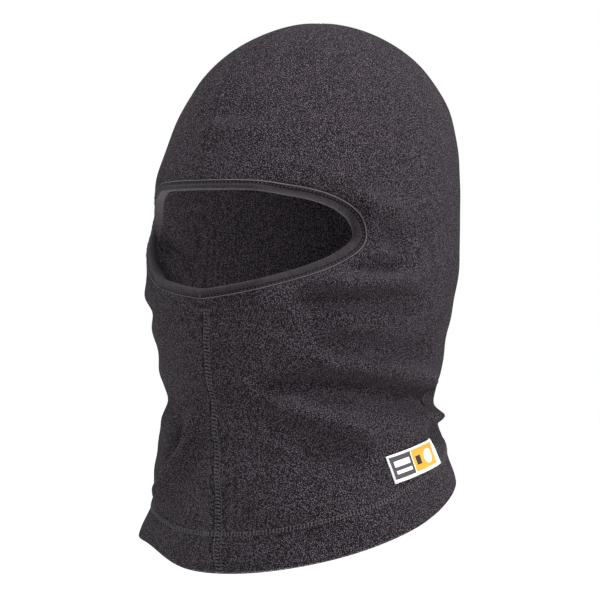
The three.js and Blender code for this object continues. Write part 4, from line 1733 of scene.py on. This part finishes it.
@dataclass
class CareTag:
    """The plain tag inside the back of the neck, which swings from its stitched top edge."""

    hinge: Vector
    across: Vector
    corner_low: Vector
    corner_high: Vector
    width: float = 26.0
    length: float = 30.0
    ply: float = 0.5
    stitch: Stitch = Stitch(1.8, 1.4, 0.45, 0.35)

    def build(self) -> list[bpy.types.Object]:
        """Makes the tag, slightly curled, and its row of stitches.

        Returns:
            The tag and its thread.
        """
        top = np.array(self.hinge) / MM
        across = np.array(self.across)
        down = self.down_direction()
        inward = np.cross(across, down)
        if inward @ top > 0:
            inward = -inward
        columns, rows = 27, 31
        u, v = np.meshgrid(np.linspace(-0.5, 0.5, columns), np.linspace(0, 1, rows))
        curl = 0.9 * smoothstep((v - 0.35) / 0.65) * (0.35 + 0.65 * np.abs(2 * u))
        curl = curl + 0.12 * np.sin(v * 9 + u * 4)
        base = top + across * (u * self.width)[..., None] + down * (v * self.length)[..., None]
        outer = base + inward * (0.05 + curl)[..., None]
        inner = outer + inward * self.ply
        points, faces = double_skin(outer, inner, np.ones((rows - 1, columns - 1), bool))
        tag = make_object("care_tag_tape", points, faces, CARE_TAPE.material(), settled=False)
        fit_piece(tag, CARE_TAG, "care_label")
        share = np.linspace(-0.44, 0.44, 24)
        line = top + across * (share * self.width)[:, None] + down * 2.0 + inward * (self.ply + 0.4)
        row = StitchRow(line, np.tile(inward, (len(share), 1)), self.stitch)
        thread = sewn_piece("care_tag_stitches", [row], PALE_THREAD, settled=False)
        return [tag, fit_piece(thread, CARE_TAG, "care_label_thread")]

    def down_direction(self) -> Array:
        """The way down the tag, square to its hinge, that fits the CAD tag's box.

        Returns:
            A unit vector.
        """
        low, high = np.array(self.corner_low) / MM, np.array(self.corner_high) / MM
        centre = (low + high) / 2
        top = np.array(self.hinge) / MM
        across = np.array(self.across)
        step = centre - top
        return unit(step - across * (step @ across))


# ---- Stage ---------------------------------------------------------------------------------


@dataclass(frozen=True)
class Studio:
    """The camera, the pale floor and the soft lights."""

    azimuth: float = 36.5
    elevation: float = 0.5
    distance: float = 1.5
    field_height: float = 0.342
    aim: tuple[float, float, float] = (-0.00185, -0.00137, -0.0348)
    ambient: float = 0.30
    floor_below: float = 0.3

    def build(self, lowest: float) -> None:
        """Sets up the camera, the floor, the world and the lights.

        Args:
            lowest: Height of the object's lowest point, which hangs clear of the floor.
        """
        self.camera()
        self.floor(lowest - self.floor_below)
        self.lights()
        world = bpy.data.worlds.new("Studio")
        world.use_nodes = True
        background = world.node_tree.nodes["Background"]
        background.inputs["Color"].default_value = (1.0, 1.0, 1.0, 1.0)
        build = NodeBuilder(world.node_tree)
        seen = build.add("ShaderNodeLightPath").outputs["Is Camera Ray"]
        strength = build.math("MAXIMUM", seen, self.ambient)
        world.node_tree.links.new(strength, background.inputs["Strength"])
        bpy.context.scene.world = world
        bpy.context.scene.view_settings.view_transform = "Standard"

    def camera(self) -> None:
        """The camera, level with the chin and turned towards the wearer's left."""
        data = bpy.data.cameras.new("Camera")
        camera = bpy.data.objects.new("Camera", data)
        bpy.context.scene.collection.objects.link(camera)
        a, e = math.radians(self.azimuth), math.radians(self.elevation)
        back = Vector((math.sin(a) * math.cos(e), -math.cos(a) * math.cos(e), math.sin(e)))
        camera.location = Vector(self.aim) + back * self.distance
        camera.rotation_mode = "QUATERNION"
        camera.rotation_quaternion = (-back).to_track_quat("-Z", "Y")
        data.lens = data.sensor_width * self.distance / self.field_height
        data.clip_start, data.clip_end = 0.05, 50.0
        bpy.context.scene.camera = camera

    def floor(self, height: float) -> None:
        """A plain pale floor.

        Args:
            height: Its height in metres.
        """
        half = 6.0 / MM
        z = height / MM
        points = np.array([(-half, -half, z), (half, -half, z), (half, half, z), (-half, half, z)])
        material = bpy.data.materials.new("Floor")
        material.use_nodes = True
        shader = material.node_tree.nodes["Principled BSDF"]
        shader.inputs["Base Color"].default_value = (0.9, 0.9, 0.9, 1.0)
        shader.inputs["Roughness"].default_value = 0.9
        shader.inputs["Emission Color"].default_value = (1.0, 1.0, 1.0, 1.0)
        seen = NodeBuilder(material.node_tree).add("ShaderNodeLightPath").outputs["Is Camera Ray"]
        glow = NodeBuilder(material.node_tree).math("MULTIPLY", seen, 1.05 - 0.9 * self.ambient)
        material.node_tree.links.new(glow, shader.inputs["Emission Strength"])
        floor = make_object("floor", points, [(0, 1, 2, 3)], material, settled=False)

    def lights(self) -> None:
        """Five soft lights: at the wearer's left, above, in front, at the right, and one inside the neck."""
        for name, place, size, power in (
            ("rim", (1.15, 0.2, 0.55), 0.5, 21.0),
            ("top", (0.3, -0.3, 1.25), 0.35, 21.0),
            ("front", (0.85, -1.2, 0.1), 0.5, 7.5),
            ("side", (-1.2, -0.35, 0.15), 0.6, 10.0),
            ("under", (0.0, 0.02, -0.42), 0.14, 5.6),
        ):
            data = bpy.data.lights.new(name, "AREA")
            data.size, data.energy = size, power
            light = bpy.data.objects.new(name, data)
            bpy.context.scene.collection.objects.link(light)
            light.location = place
            light.visible_camera = False
            light.rotation_mode = "QUATERNION"
            light.rotation_quaternion = (Vector((0, 0, -0.03)) - Vector(place)).to_track_quat("-Z", "Y")


# ---- Main ----------------------------------------------------------------------------------


def panel_area(piece: bpy.types.Object) -> float:
    """Half the surface of a closed ply, which is the area of its cloth, in square metres."""
    return sum(polygon.area for polygon in piece.data.polygons) / 2


def declare_panels(panels: list[bpy.types.Object]) -> None:
    """Logs the area of cloth in each panel.

    Args:
        panels: The two side panels.
    """
    for panel in panels:
        LOG.info("%s has %.4f square metres of cloth", panel.name, panel_area(panel))


def main() -> None:
    """Builds the balaclava piece by piece, dresses it and hangs it in the studio."""
    logging.basicConfig(level=logging.INFO, format="%(message)s")
    low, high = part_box("left_panel")
    right_folds = tuple(fold.mirrored(RIGHT_DROP, RIGHT_SHARE) for fold in LEFT_FOLDS)
    folds = LEFT_FOLDS + FRONT_FOLDS + BACK_FOLDS + right_folds
    form = HoodForm(crown_rise=high.z / MM, folds=folds)
    opening = FaceOpening()
    panels = [SidePanel(side, form, opening).build() for side in Side]
    pieces = list(panels)
    pieces += FaceBinding(form, opening).build()
    seams = SeamSewing(form)
    pieces += seams.topstitch() + seams.hem() + seams.overlock()
    pieces += WovenLabel(form).build()
    joint = next(j for j in frame["joints"] if j["name"] == "care_tag_flap")
    tag_low, tag_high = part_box("care_label")
    pieces += CareTag(Vector(joint["pos_m"]), Vector(joint["axis"]), tag_low, tag_high).build()
    declare_panels(panels)
    Studio().build(low.z)
    for piece in pieces:
        LOG.info("%s: %d faces", piece.name, len(piece.data.polygons))
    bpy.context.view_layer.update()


if __name__ == "__main__":
    main()
